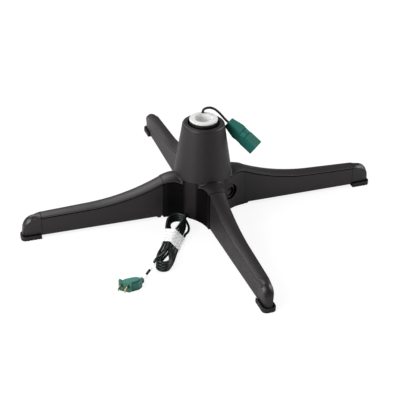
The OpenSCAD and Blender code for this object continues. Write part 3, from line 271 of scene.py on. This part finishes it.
# Strain reliefs of the supply lead: soft tapered sleeves with ribs, moulded on the cord where it
# leaves the hub and where it enters the plug.  They follow the cord's own bend.
def along_route(points, distance):
    """Point and heading at a distance along a route, on a smooth curve through its points."""
    left = distance
    for k in range(len(points) - 1):
        a, b = points[max(k - 1, 0)], points[k]
        c, d = points[k + 1], points[min(k + 2, len(points) - 1)]
        span = (c - b).length
        if left <= span or k == len(points) - 2:
            t = left / span
            at = 0.5 * (2 * b + (c - a) * t + (2 * a - 5 * b + 4 * c - d) * t * t
                        + (3 * b - a - 3 * c + d) * t ** 3)
            way = 0.5 * ((c - a) + 2 * (2 * a - 5 * b + 4 * c - d) * t
                         + 3 * (3 * b - a - 3 * c + d) * t * t)
            return at, way.normalized()
        left -= span


def new_piece(name, form, material, body, sharp=35.0):
    """Turns a bmesh into a named piece with one material that rides on a body."""
    bmesh.ops.recalc_face_normals(form, faces=form.faces)
    mesh = bpy.data.meshes.new(name)
    form.to_mesh(mesh)
    form.free()
    mesh.shade_smooth()
    mesh.set_sharp_from_angle(angle=math.radians(sharp))
    mesh.materials.append(material)
    piece = bpy.data.objects.new(name, mesh)
    bpy.context.scene.collection.objects.link(piece)
    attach(piece, body)
    return piece


def ribbed_sleeve(name, points, length, r0, r1, ribs):
    """A tapered sleeve round a route, with a groove after each rib."""
    groove = 0.00035
    rib_shape = ((0.04, 0), (0.62, 0), (0.70, 1), (0.96, 1))
    form = bmesh.new()
    stations = [(0.0, 0.0)]
    for k in range(ribs):
        stations += [((k + share) / ribs, drop) for share, drop in rib_shape]
    stations.append((1.0, 0.0))
    last = None
    for t, drop in stations:
        at, way = along_route(points, t * length)
        radius = r0 + (r1 - r0) * t - groove * drop
        turn = way.to_track_quat("Z", "Y").to_matrix().to_4x4()
        ring = bmesh.ops.create_circle(form, segments=24, radius=radius,
                                       matrix=Matrix.Translation(at) @ turn)["verts"]
        edges = list({e for v in ring for e in v.link_edges})
        if last is None:
            bmesh.ops.contextual_create(form, geom=edges)
        else:
            bmesh.ops.bridge_loops(form, edges=last + edges)
        last = edges
    bmesh.ops.contextual_create(form, geom=last)
    return new_piece(name, form, cord_vinyl, "base")


hub_relief_route = [gland_mouth - gland_out * 0.0045] + lead_start[:5]
ribbed_sleeve("hub_relief", hub_relief_route, 0.022, 0.0044, 0.0028, 6)
plug_relief_route = list(reversed(lead_run[-6:]))
plug_relief = ribbed_sleeve("plug_relief", plug_relief_route, 0.020, 0.0045, 0.0031, 6)


# Film round the hank: a crinkled strip of clear packing film, rolled a turn and a third round the
# waist of the hank so that the black loops just show through it.
def film_finish():
    """Clear crinkled film: streaks that turn milky, sharp bumps, a bright sheen and a painted glow
    in its crinkles.
    """
    material = bpy.data.materials.new("wrap_film")
    tree, shader, make = nodes_of(material)
    place = make("ShaderNodeTexCoord")
    stretch = make("ShaderNodeMapping")
    stretch.inputs["Scale"].default_value = (1, 1, 0.45)
    crease = make("ShaderNodeTexNoise", Scale=190.0, Detail=5.0, Roughness=0.65, Distortion=1.6)
    folds = make("ShaderNodeTexVoronoi", Scale=150.0, feature="DISTANCE_TO_EDGE")
    milk = make("ShaderNodeMapRange")
    milk.inputs["From Min"].default_value = 0.35
    milk.inputs["From Max"].default_value = 0.65
    milk.inputs["To Min"].default_value = 0.55
    milk.inputs["To Max"].default_value = 0.99
    tone = make("ShaderNodeMix", data_type="RGBA")
    tone.inputs["A"].default_value = (0.60, 0.60, 0.63, 1)
    tone.inputs["B"].default_value = (0.97, 0.97, 0.97, 1)
    height = make("ShaderNodeMath", operation="ADD")
    bump = make("ShaderNodeBump", Strength=0.8, Distance=0.0012)
    shader.inputs["Roughness"].default_value = 0.22
    # Painted glow: the film emits white light, strongest in its crinkles, so that it reads whiter
    # than its lighting makes it.
    shader.inputs["Emission Color"].default_value = (1, 1, 1, 1)
    painted_glow = make("ShaderNodeMath", operation="MULTIPLY")
    painted_glow.inputs[1].default_value = 0.85
    link = tree.links.new
    link(crease.outputs["Fac"], painted_glow.inputs[0])
    link(painted_glow.outputs[0], shader.inputs["Emission Strength"])
    link(place.outputs["Object"], stretch.inputs["Vector"])
    link(stretch.outputs["Vector"], crease.inputs["Vector"])
    link(stretch.outputs["Vector"], folds.inputs["Vector"])
    link(crease.outputs["Fac"], milk.inputs["Value"])
    link(milk.outputs["Result"], shader.inputs["Alpha"])
    link(milk.outputs["Result"], tone.inputs["Factor"])
    link(tone.outputs["Result"], shader.inputs["Base Color"])
    link(crease.outputs["Fac"], height.inputs[0])
    link(folds.outputs["Distance"], height.inputs[1])
    link(height.outputs[0], bump.inputs["Height"])
    link(bump.outputs["Normal"], shader.inputs["Normal"])
    return material


wrap_film = film_finish()


def run_point(s, side, count):
    """Centre of a strand of the waist at station s, between two of its knots."""
    k = 1 if s < run_s[2] else 2
    a, b = run_s[k], run_s[k + 1]
    t = (s - a) / (b - a)
    return ((1 - t) * strand(a, side * loop_half(a), count)
            + t * strand(b, side * loop_half(b), count))


def waist_outline(s, grow):
    """Taut outline round the strands at station s: points across and up, evenly spaced.
    One side of the waist holds a strand more than the other, because the lead ends there."""
    dots = []
    facets = 20
    spots = 96
    for side, lift, strands in ((-1, 0.08, hank_loops + 1), (1, 0.58, hank_loops)):
        for k in range(strands):
            centre = run_point(s, side, k + lift) - hank_mid
            for j in range(facets):
                turn = math.tau * j / facets
                dots.append(Vector((centre.dot(hank_across) + (lead_r + grow) * math.cos(turn),
                                    centre.z + (lead_r + grow) * math.sin(turn))))
    ring = [dots[i] for i in geometry.convex_hull_2d(dots)]
    ring.append(ring[0])
    total = sum((q - p).length for p, q in zip(ring, ring[1:]))
    out, k, passed = [], 0, 0.0
    for j in range(spots):
        want = total * j / spots
        while passed + (ring[k + 1] - ring[k]).length < want:
            passed += (ring[k + 1] - ring[k]).length
            k += 1
        t = (want - passed) / (ring[k + 1] - ring[k]).length
        out.append(ring[k].lerp(ring[k + 1], t))
    return out


def roll(verts, place, turns):
    """Rolls up a flat grid by place(turn, run), where run goes from 0 to 1 along the cord."""
    for v in verts:
        v.co = place((v.co.x + 0.5) * turns, v.co.y + 0.5)


film_turns = 1.34
film_wide = 43
film_end = -23.5
film_gap = 0.0016
film_layer = 0.0003
film_rings = {}


def hank_film_at(turn, run):
    """A point of the hank's film, with its wavy edges and its rucks."""
    edge = 1.6 * math.sin(turn * 9.0) + 1.2 * noise.noise(Vector((turn * 4.0, 0.3, 2.0)))
    s = -film_wide / 2 + film_wide * run + edge * abs(2 * run - 1) ** 3
    key = round(max(film_end, s), 1)
    if key not in film_rings:
        film_rings[key] = waist_outline(key, film_gap)
    ring = film_rings[key]
    middle = sum(ring, Vector((0, 0))) / len(ring)
    step = (turn % 1.0) * len(ring)
    p = ring[int(step) % len(ring)].lerp(ring[(int(step) + 1) % len(ring)], step % 1.0)
    out = (p - middle).normalized()
    ruck = noise.noise(Vector((p.x * 420, p.y * 420, s * 0.16 + 5 * turn)))
    ruck += 0.6 * noise.noise(Vector((p.x * 900, p.y * 900, s * 0.5)))
    p = p + out * (film_layer * turn + 0.0006 * max(0.0, ruck + 0.35))
    point = hank_mid + hank_along * s / 1000 + hank_across * p.x
    point.z = max(0.0003, p.y)
    return point


film_form = bmesh.new()
sheet = bmesh.ops.create_grid(film_form, x_segments=150, y_segments=34, size=0.5)
roll(sheet["verts"], hank_film_at, film_turns)
hank_film = new_piece("hank_film", film_form, wrap_film, "base", sharp=80.0)
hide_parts("hank_wrap")
hank_core = Vector((0, 0, 0.013))
film_normals = []
for v in hank_film.data.vertices:
    along = (v.co - hank_mid).dot(hank_along)
    out = v.co - (hank_mid + hank_along * along + hank_core)
    film_normals.append((out.normalized() + 0.35 * v.normal * math.copysign(1, v.normal.dot(out)))
                        .normalized())
hank_film.data.normals_split_custom_set_from_vertices(film_normals)


# Two short rolls of the same film round the loose end of the lead, as left by the packer: each
# nearly a turn and a half, a little loose on the cord.
band_turns = 1.4
band_inset = 0.0012


def band_place(points_from, points_to, seed):
    """Layout of a small roll of film round a straight stretch of cord."""
    way = (points_to - points_from).normalized()
    side = way.cross(Vector((0, 0, 1))).normalized()
    rise = side.cross(way)
    start = points_from + way * band_inset
    length = (points_to - points_from).length - 2 * band_inset

    def place(turn, run):
        """A point of the roll, with its flared ends and its rucks."""
        angle = math.tau * turn
        ruck = noise.noise(Vector((math.cos(angle) * 2 + seed, math.sin(angle) * 2, run * 5)))
        flare = 0.0004 * abs(2 * run - 1) ** 4
        radius = lead_r + 0.0011 + film_layer * turn + flare + 0.0011 * max(0.0, ruck + 0.2)
        point = start + way * (run * length + 0.0008 * ruck)
        point += (side * math.cos(angle) + rise * math.sin(angle)) * radius
        point.z = max(0.0002, point.z)
        return point
    return place


band_forms = bmesh.new()
for first, seed in ((6, 1.7), (8, 4.2)):
    sheet = bmesh.ops.create_grid(band_forms, x_segments=60, y_segments=16, size=0.5)
    roll(sheet["verts"], band_place(lead_run[first], lead_run[first + 1], seed), band_turns)
band_film = new_piece("band_film", band_forms, wrap_film, "base", sharp=80.0)
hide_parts("cord_bands")


# Turning cord: a short vinyl cord that comes up through the hole in the white flange, bends over
# the rim and drops to the outlet block, stiff enough to hold the block clear of the cover.
tap_at = Vector((0.0535, 0.0093, 0.1787))
tap_turn = (Matrix.Rotation(math.radians(-43.5), 4, "Z")
            @ Matrix.Rotation(math.radians(35.3), 4, "Y")
            @ Matrix.Rotation(math.radians(13.2), 4, "X"))
tap_along = tap_turn.to_3x3() @ Vector((1, 0, 0))
slot_angle = math.radians(75)
path_r = 0.021775


def on_slot(radius, height):
    """A point beside the pole hole, at the angle of the turning cord."""
    return Vector((radius * math.cos(slot_angle), radius * math.sin(slot_angle), height))


tree_points = [on_slot(path_r, 0.188), on_slot(path_r, 0.2029)] + [Vector(p) / 1000 for p in (
    (7, 20.9, 206.4), (10, 20.5, 208.6), (14, 20.1, 209.6), (19, 19.8, 209.5), (24, 19.4, 208),
    (29, 19, 205.2), (33.5, 18.5, 201.4), (38, 17.7, 196.8), (42.3, 16.2, 191.7), (46, 14.3, 187))]
tree_points += [tap_at - tap_along * straight, tap_at]
tree_lead = cord_curve("tree_lead", lead_r, tree_points)
tree_lead.data.materials.append(cord_vinyl)
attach(tree_lead, "rotor")
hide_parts("tree_cord")


# Wires inside the turning socket: two insulated wires, twisted together, from the slip rings up
# through the spindle and under the pole stop to the turning cord.
wire_bend = 0.005
bend_z = 0.10802
wire_route = [Vector((0, 0, 0.060)), Vector((0, 0, 0.091)), Vector((0, 0, bend_z - 0.0005))]
for degrees in (15, 40, 65, 90):
    bend = math.radians(degrees)
    wire_route.append(on_slot(wire_bend * (1 - math.cos(bend)),
                              bend_z + wire_bend * math.sin(bend)))
wire_route.append(on_slot(2 * wire_bend, bend_z + wire_bend))
for degrees in (10, 30, 50, 70, 90):
    bend = math.radians(degrees)
    wire_route.append(on_slot(path_r - wire_bend * (1 - math.sin(bend)),
                              bend_z + wire_bend * (2 - math.cos(bend))))
wire_route += [on_slot(path_r, bend_z + 0.030), on_slot(path_r, 0.176)]
wire_across = Vector((-math.sin(slot_angle), math.cos(slot_angle), 0))
wire_length = sum((q - p).length for p, q in zip(wire_route, wire_route[1:]))
wire_r = 0.00075
wire_steps = 60
twist_steps = 14
wires = [[], []]
for k in range(wire_steps + 1):
    at, way = along_route(wire_route, wire_length * k / wire_steps)
    other = way.cross(wire_across).normalized()
    for n in (0, 1):
        turn = math.tau * (k / twist_steps + n / 2)
        wires[n].append(at + (wire_across * math.cos(turn) + other * math.sin(turn))
                        * (wire_r + 0.00003))
socket_wires = cord_curve("socket_wires", wire_r, *wires)
socket_wires.data.materials.append(cord_vinyl)
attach(socket_wires, "rotor")
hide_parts("inner_wires")


# Floor and studio: a white sweep that reads as pure white to the camera but keeps the stand's
# shadow, with soft boxes at the left, the right and behind, and a weak sky.
floor_mesh = bpy.data.meshes.new("floor")
floor_form = bmesh.new()
bmesh.ops.create_grid(floor_form, x_segments=1, y_segments=1, size=6)
floor_form.to_mesh(floor_mesh)
floor_form.free()
floor = bpy.data.objects.new("floor", floor_mesh)
bpy.context.scene.collection.objects.link(floor)
paper = bpy.data.materials.new("paper_sweep")
tree, shader, make = nodes_of(paper)
shader.inputs["Roughness"].default_value = 0.9
shader.inputs["Specular IOR Level"].default_value = 0.0
seen = make("ShaderNodeLightPath")
paper_tone = make("ShaderNodeMix", data_type="RGBA")
paper_tone.inputs["A"].default_value = (0.74, 0.73, 0.73, 1)
paper_tone.inputs["B"].default_value = (0.92, 0.92, 0.92, 1)
share = make("ShaderNodeMath", operation="MULTIPLY")
share.inputs[1].default_value = 0.80
glow = make("ShaderNodeEmission", Color=(1, 1, 1, 1), Strength=1.09)
both = make("ShaderNodeMixShader")
out = tree.nodes["Material Output"]
tree.links.new(seen.outputs["Is Camera Ray"], paper_tone.inputs["Factor"])
tree.links.new(paper_tone.outputs["Result"], shader.inputs["Base Color"])
tree.links.new(seen.outputs["Is Camera Ray"], share.inputs[0])
tree.links.new(share.outputs[0], both.inputs[0])
tree.links.new(shader.outputs[0], both.inputs[1])
tree.links.new(glow.outputs[0], both.inputs[2])
tree.links.new(both.outputs[0], out.inputs["Surface"])
floor_mesh.materials.append(paper)

sky = bpy.data.worlds.new("studio")
bpy.context.scene.world = sky
sky.use_nodes = True
sky_tree = sky.node_tree
sky_glow = sky_tree.nodes["Background"]
sky_seen = sky_tree.nodes.new("ShaderNodeLightPath")
sky_level = sky_tree.nodes.new("ShaderNodeMapRange")
sky_level.inputs["To Min"].default_value = 0.16
sky_level.inputs["To Max"].default_value = 1.0
sky_glow.inputs["Color"].default_value = (1, 1, 1, 1)
sky_tree.links.new(sky_seen.outputs["Is Camera Ray"], sky_level.inputs["Value"])
sky_tree.links.new(sky_level.outputs["Result"], sky_glow.inputs["Strength"])

for name, place, size, watts in (("left_box", (-1.7, -0.5, 1.1), 1.3, 38),
                                 ("right_box", (1.7, -0.1, 1.0), 1.0, 20),
                                 ("back_box", (-0.5, 1.8, 1.9), 1.4, 28)):
    lamp = bpy.data.lights.new(name, "AREA")
    lamp.energy = watts
    lamp.size = size
    holder = bpy.data.objects.new(name, lamp)
    holder.location = place
    holder.rotation_euler = Vector(place).to_track_quat("Z", "Y").to_euler()
    bpy.context.scene.collection.objects.link(holder)
bpy.context.scene.view_settings.view_transform = "Standard"


# Hub, cover, bottom plate, sleeve and legs: black moulded plastic with a fine spark texture.
# The rounded copies carry the small edge radii that the mould leaves.  LIP_LINE is the height of
# the lip's lower edge at each distance from the stand's axis, in millimetres.
mould_finish = ((0.0125, 0.0094, 0.0108), (0.0180, 0.0140, 0.0158), (0.38, 0.52), 1400.0, 0.35)
black_plastic = moulded("black_plastic", *mould_finish)
SIDES = ("right", "back", "left", "front")
LINE_REACH = 360
LINE_TOP = 100
# LIP_LINE also places the painted shadow under the lip and the painted highlight on its edge.
LIP_LINE = ((0, 88.4), (48.7, 88.4), (48.8, 78.1), (52.8, 80.1), (56.9, 81.6), (61.4, 82.4),
            (66.5, 82.7), (71.9, 82.3), (77.4, 81.3), (83.5, 79.4), (84.1, 79), (92.4, 75.5),
            (109.3, 68.9), (126.4, 63.2), (143.8, 58.3), (161.4, 54.2), (179.2, 51), (197.1, 48.6),
            (215.1, 47.1), (249.9, 45.9), (322, 43.7), (323, 100))


def lip_shadow(material, pocket_shade=False):
    """Paints a shadow under the overhanging lip of hub and legs and a painted highlight along the
    lip's edge.
    On the hub it can also paint shade into the deep corners between the arms, but for the switch's."""
    tree, shader, make = nodes_of(material)
    link = tree.links.new

    def calc(operation, *terms):
        """The result of a math node, whose terms are numbers or other results."""
        node = make("ShaderNodeMath", operation=operation)
        for socket, term in zip(node.inputs, terms):
            if isinstance(term, bpy.types.NodeSocket):
                link(term, socket)
            else:
                socket.default_value = term
        return node.outputs[0]

    def span(value, low, high):
        """How far value has gone from low to high, between 0 and 1."""
        node = make("ShaderNodeMapRange")
        node.inputs["From Min"].default_value = low
        node.inputs["From Max"].default_value = high
        link(value, node.inputs["Value"])
        return node.outputs["Result"]

    def levels(value, stops, end=1):
        """The level at value, from a list of places and levels."""
        node = make("ShaderNodeValToRGB")
        ramp = node.color_ramp
        for at, level in stops:
            ramp.elements.new(at).color = (level, level, level, 1)
        ramp.elements[0].color = (1, 1, 1, 1)
        ramp.elements[-1].color = (end, end, end, 1)
        link(value, node.inputs["Fac"])
        return node.outputs["Color"]

    place = make("ShaderNodeTexCoord").outputs["Object"]
    parts = make("ShaderNodeSeparateXYZ")
    link(place, parts.inputs[0])
    reach = calc("MAXIMUM", calc("ABSOLUTE", parts.outputs["X"]),
                 calc("ABSOLUTE", parts.outputs["Y"]))
    edge = make("ShaderNodeFloatCurve")
    knots = edge.mapping.curves[0].points
    for k, (r, z) in enumerate(LIP_LINE):
        at = (r / LINE_REACH, z / LINE_TOP)
        knot = knots[k] if k < 2 else knots.new(*at)
        knot.location = at
        knot.handle_type = "VECTOR"
    edge.mapping.update()
    link(calc("DIVIDE", reach, LINE_REACH / 1000), edge.inputs["Value"])
    drop = calc("MULTIPLY_ADD", parts.outputs["Z"], -1000 / LINE_TOP, edge.outputs["Value"])
    below = span(drop, -0.04, 0.06)
    # Painted light along the lip: levels above 1 are a painted highlight on the lip's edge, levels
    # near 0 a painted shadow under it.
    level = levels(below, ((0.30, 1), (0.34, 2.6), (0.385, 2.6), (0.40, 0.02), (0.62, 0.02),
                           (0.70, 1)))
    # Painted shade on the hub's walls in the corners between the arms, standing in for deep
    # pockets; the switch's corner is left out.
    if pocket_shade:
        round_axis = make("ShaderNodeTexGradient", gradient_type="RADIAL")
        link(place, round_axis.inputs[0])
        angle = round_axis.outputs["Fac"]
        from_arm = calc("MULTIPLY", calc("PINGPONG", angle, 1 / 8), 8)
        dark = levels(from_arm, ((0.08, 1), (0.28, 0.16), (0.64, 0.16), (0.80, 0.8)), end=0.8)
        elsewhere = calc("ADD", calc("LESS_THAN", angle, 1 / 4), calc("GREATER_THAN", angle, 1 / 2))
        chosen = make("ShaderNodeMix", data_type="FLOAT")
        chosen.inputs["A"].default_value = 1.0
        link(calc("MULTIPLY", elsewhere, span(below, 0.40, 0.44)), chosen.inputs["Factor"])
        link(dark, chosen.inputs["B"])
        level = calc("MULTIPLY", level, chosen.outputs["Result"])
    base = make("ShaderNodeVectorMath", operation="SCALE")
    link(shader.inputs["Base Color"].links[0].from_socket, base.inputs[0])
    link(level, base.inputs["Scale"])
    link(base.outputs[0], shader.inputs["Base Color"])
    gloss = calc("MULTIPLY", shader.inputs["Specular IOR Level"].links[0].from_socket, level)
    link(gloss, shader.inputs["Specular IOR Level"])


def dress(material, *names):
    """Gives CAD nodes that keep their own shape a finish."""
    for node_name in names:
        mesh = frame["nodes"][node_name].data
        mesh.materials.clear()
        mesh.materials.append(material)


def rounded(node_name, name, width, material, shape=None):
    """A copy of a CAD node with its sharp outer edges rounded; it stands for the node."""
    corner = math.radians(26)
    form = bmesh.new()
    form.from_mesh(frame["nodes"][node_name].data)
    bmesh.ops.remove_doubles(form, verts=form.verts, dist=2e-6)
    bmesh.ops.dissolve_limit(form, angle_limit=math.radians(0.4), verts=form.verts,
                             edges=form.edges, use_dissolve_boundaries=False)
    if shape:
        shape(form)
    sharp = [e for e in form.edges if len(e.link_faces) == 2 and e.is_convex
             and e.calc_face_angle(0) > corner]
    bmesh.ops.bevel(form, geom=sharp, offset=width, offset_type="OFFSET", segments=2,
                    profile=0.5, affect="EDGES", clamp_overlap=True, material=-1)
    mesh = bpy.data.meshes.new(name)
    form.to_mesh(mesh)
    form.free()
    mesh.shade_smooth()
    mesh.set_sharp_from_angle(angle=math.radians(35))
    piece = bpy.data.objects.new(name, mesh)
    mesh.materials.append(material)
    if not shape:
        flats = piece.modifiers.new("flats", "WEIGHTED_NORMAL")
        flats.keep_sharp = True
    bpy.context.scene.collection.objects.link(piece)
    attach(piece, frame["nodes"][node_name]["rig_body"])
    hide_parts(node_name)
    return piece


# The hub's plastic paints corner shade over a wider reach, and painted shade in the pockets between
# its arms.
hub_plastic = moulded("hub_plastic", *mould_finish, reach=0.012)
lip_shadow(hub_plastic, pocket_shade=True)
leg_plastic = black_plastic.copy()
leg_plastic.name = "leg_plastic"
lip_shadow(leg_plastic)
rounded("hub", "hub_shell", 0.0003, hub_plastic)
rounded("cone_cover", "cover_shell", 0.0005, black_plastic)
for side in SIDES:
    rounded(f"{side}_leg", f"{side}_leg_shell", 0.0004, leg_plastic)
rounded("pole_sleeve", "sleeve_shell", 0.0003, black_plastic)
dress(black_plastic, "bottom_plate", "brush_block", "upper_bushing",
      *[f"{side}_latch" for side in SIDES])


# Feet: glossier caps with a rounded nose, plugged into the legs, each in a soft rubber pad with
# cross grooves underneath.
cap_plastic = moulded("cap_plastic", (0.0120, 0.0094, 0.0108), (0.0170, 0.0136, 0.0152),
                      (0.32, 0.44), 1100.0, 0.25)
pad_rubber = moulded("pad_rubber", (0.007, 0.007, 0.007), (0.011, 0.011, 0.011),
                     (0.55, 0.72), 900.0, 0.4)
lip_shadow(cap_plastic)


def nose(out):
    """Arches the top of a cap towards its tip and draws its sides in a little there.
    The cap is first cut into a fine net, so that the arch comes out round."""
    across = Vector((-out.y, out.x, 0))
    up = Vector((0, 0, 1))
    half_wide = 0.0102
    arch_drop = 0.0060
    drawn_in = 0.30

    def shape(form):
        """Cuts the cap into its net and moves the net's points."""
        cuts = [(out, 0.3235 + 0.0018 * i) for i in range(15)]
        cuts += [(across, 0.0017 * i) for i in range(-5, 6)]
        cuts += [(up, 0.017 + 0.0025 * i) for i in range(11)]
        for axis, offset in cuts:
            bmesh.ops.bisect_plane(form, geom=form.verts[:] + form.edges[:] + form.faces[:],
                                   plane_co=axis * offset, plane_no=axis)
        for v in form.verts:
            reach = v.co.dot(out)
            side = v.co.dot(across)
            bow = ease((reach - 0.3195) / 0.026) * ease((v.co.z - 0.014) / 0.026)
            v.co.z -= arch_drop * bow * (side / half_wide) ** 2
            into = min(1.0, max(0.0, (reach - 0.3395) / 0.0135))
            v.co -= across * side * drawn_in * (1 - math.sqrt(1 - into * into))
    return shape


for k, side in enumerate(SIDES):
    out = Matrix.Rotation(k * math.pi / 2, 3, "Z") @ Vector((1, 0, 0))
    rounded(f"{side}_cap", f"{side}_cap_shell", 0.0004, cap_plastic,
            shape=nose(out))
    rounded(f"{side}_pad", f"{side}_pad_shell", 0.0006, pad_rubber)
dress(pad_rubber, "cord_gland")


# Pole bushing: one white moulding, pushed into the turning sleeve.  Its flange caps the sleeve and
# its bore takes the tree's pole.
white_plastic = moulded("white_plastic", (0.76, 0.76, 0.755), (0.84, 0.84, 0.835),
                        (0.30, 0.42), 600.0, 0.12, patch=30.0)
rounded("pole_bushing", "pole_liner", 0.0005, white_plastic)


# Outlet block of the turning cord: green vinyl moulded round the contacts, square with a tapered
# nose, and with a raised rim round each of the two slots on either side of its waist.  The rims'
# points and faces are put in a fixed order, so that every run builds the same mesh.
green_vinyl = moulded("green_vinyl", (0.016, 0.140, 0.113), (0.023, 0.172, 0.141),
                      (0.50, 0.62), 800.0, 0.2, patch=20.0, sheen=0.18)
rounded("tree_outlet", "outlet_block", 0.0006, green_vinyl)
dress(green_vinyl, "tree_cord_gland")
# The rims are the block's own green vinyl, coloured much brighter as a painted highlight on the
# slots' edges.
rim_highlight_vinyl = moulded("rim_highlight_vinyl", (0.004, 0.34, 0.26), (0.008, 0.40, 0.31),
                       (0.45, 0.55), 800.0, 0.1, patch=20.0, sheen=0.15, reach=0.0004)
slot_long, slot_wide, slot_at, slot_side = 0.0092, 0.0042, 0.03734, 0.00635
rim_wide, rim_high, waist_z = 0.0014, 0.0006, 0.0096
rims = bmesh.new()
for face in (0, 180):
    for y in (-slot_side, slot_side):
        made = bmesh.ops.create_grid(rims, x_segments=1, y_segments=1, size=0.5)
        flat = list({f for v in made["verts"] for f in v.link_faces})
        bmesh.ops.scale(rims, vec=(slot_long, slot_wide, 1), verts=made["verts"])
        inner = bmesh.ops.inset_region(rims, faces=flat, thickness=rim_wide,
                                       use_boundary=True, use_even_offset=True)
        bmesh.ops.delete(rims, geom=flat, context="FACES_ONLY")
        ring = inner["faces"]
        up = bmesh.ops.extrude_face_region(rims, geom=ring)
        raised = [g for g in up["geom"] if isinstance(g, bmesh.types.BMVert)]
        bmesh.ops.translate(rims, vec=(0, 0, rim_high), verts=raised)
        whole = list({v for f in ring for v in f.verts} | set(raised))
        seat = Matrix.Rotation(math.radians(face), 4, "X") @ Matrix.Translation(
            (slot_at, y, waist_z))
        bmesh.ops.transform(rims, matrix=Matrix.Translation(tap_at) @ tap_turn @ seat,
                            verts=whole)
rims_order = Vector((1.0, 0.61, 0.23))
rims.verts.sort(key=lambda v: v.co.dot(rims_order))
rims.faces.sort(key=lambda f: f.calc_center_median().dot(rims_order))
slot_rims = new_piece("slot_rims", rims, rim_highlight_vinyl, "rotor")


# Supply plug: an angled green vinyl moulding with a winged face plate, cast round the end of the
# lead and round its two flat blades.
plug_vinyl = moulded("plug_vinyl", (0.040, 0.175, 0.142), (0.060, 0.230, 0.186),
                     (0.42, 0.56), 800.0, 0.2, patch=20.0, sheen=0.3)
rounded("lead_plug", "plug_body", 0.0006, plug_vinyl)


# Metal parts: turned, stamped and drawn steel, brass and copper, with a faint streak in the gloss.
# The blades sit in the plug, the copper in the spindle and the brush block, the rest is steel.
def metal(name, colour, rough):
    """Bare metal in two close shades, with streaks in its gloss."""
    material = bpy.data.materials.new(name)
    tree, shader, make = nodes_of(material)
    shader.inputs["Metallic"].default_value = 1.0
    place = make("ShaderNodeTexCoord")
    streak = make("ShaderNodeTexNoise", Scale=300.0, Detail=3.0)
    shade = make("ShaderNodeMix", data_type="RGBA")
    shade.inputs["A"].default_value = (*(0.85 * c for c in colour), 1)
    shade.inputs["B"].default_value = (*colour, 1)
    gloss = make("ShaderNodeMapRange")
    gloss.inputs["To Min"].default_value = rough[0]
    gloss.inputs["To Max"].default_value = rough[1]
    tree.links.new(place.outputs["Object"], streak.inputs["Vector"])
    tree.links.new(streak.outputs["Fac"], shade.inputs["Factor"])
    tree.links.new(shade.outputs["Result"], shader.inputs["Base Color"])
    tree.links.new(streak.outputs["Fac"], gloss.inputs["Value"])
    tree.links.new(gloss.outputs["Result"], shader.inputs["Roughness"])
    return material


steel = metal("steel", (0.60, 0.60, 0.62), (0.25, 0.4))
brass = metal("brass", (0.78, 0.56, 0.25), (0.22, 0.36))
copper = metal("copper", (0.72, 0.40, 0.22), (0.25, 0.4))
rounded("plug_blades", "blade_pair", 0.0003, brass)
dress(copper, "brushes", "slip_rings")
dress(steel, "bottom_screws", "cover_screws", "gear_motor", "motor_screws", "thrust_race_lower",
      "thrust_race_upper", "thrust_balls", "latch_pins", "latch_springs", "spindle_clip",
      "gear_screws", "motor_shaft")


# Gears, lower bushing and ball cage, moulded in pale acetal, which runs dry, and the spindle that
# carries the slip rings, turned from brown phenolic.
ivory = moulded("ivory_plastic", (0.70, 0.66, 0.53), (0.76, 0.72, 0.60), (0.35, 0.5), 500.0, 0.1)
dress(ivory, "lower_bushing", "drive_gear", "motor_pinion", "ball_cage")
phenolic = moulded("phenolic", (0.16, 0.075, 0.03), (0.21, 0.10, 0.045), (0.35, 0.5), 400.0, 0.2)
dress(phenolic, "spindle")


# Switch: a round rocker that tilts in a bezel, both moulded in glossy black.  The bezel is pressed
# into a recess in the hub's wall.
switch_black = moulded("switch_black", (0.012, 0.012, 0.013), (0.017, 0.017, 0.018),
                       (0.12, 0.22), 500.0, 0.1)
rounded("switch_bezel", "switch_ring", 0.0004, switch_black)
rounded("switch_rocker", "switch_key", 0.0006, switch_black)


# Cords: the lengths of their routes and the turning cord's first point, worked out but not kept.
def route_length(points):
    """Length of a cord's route, to a tenth of a millimetre."""
    return round(sum((q - p).length for p, q in zip(points, points[1:])), 4)


route_length(lead_points)
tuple(tree_points[0])
route_length(tree_points)
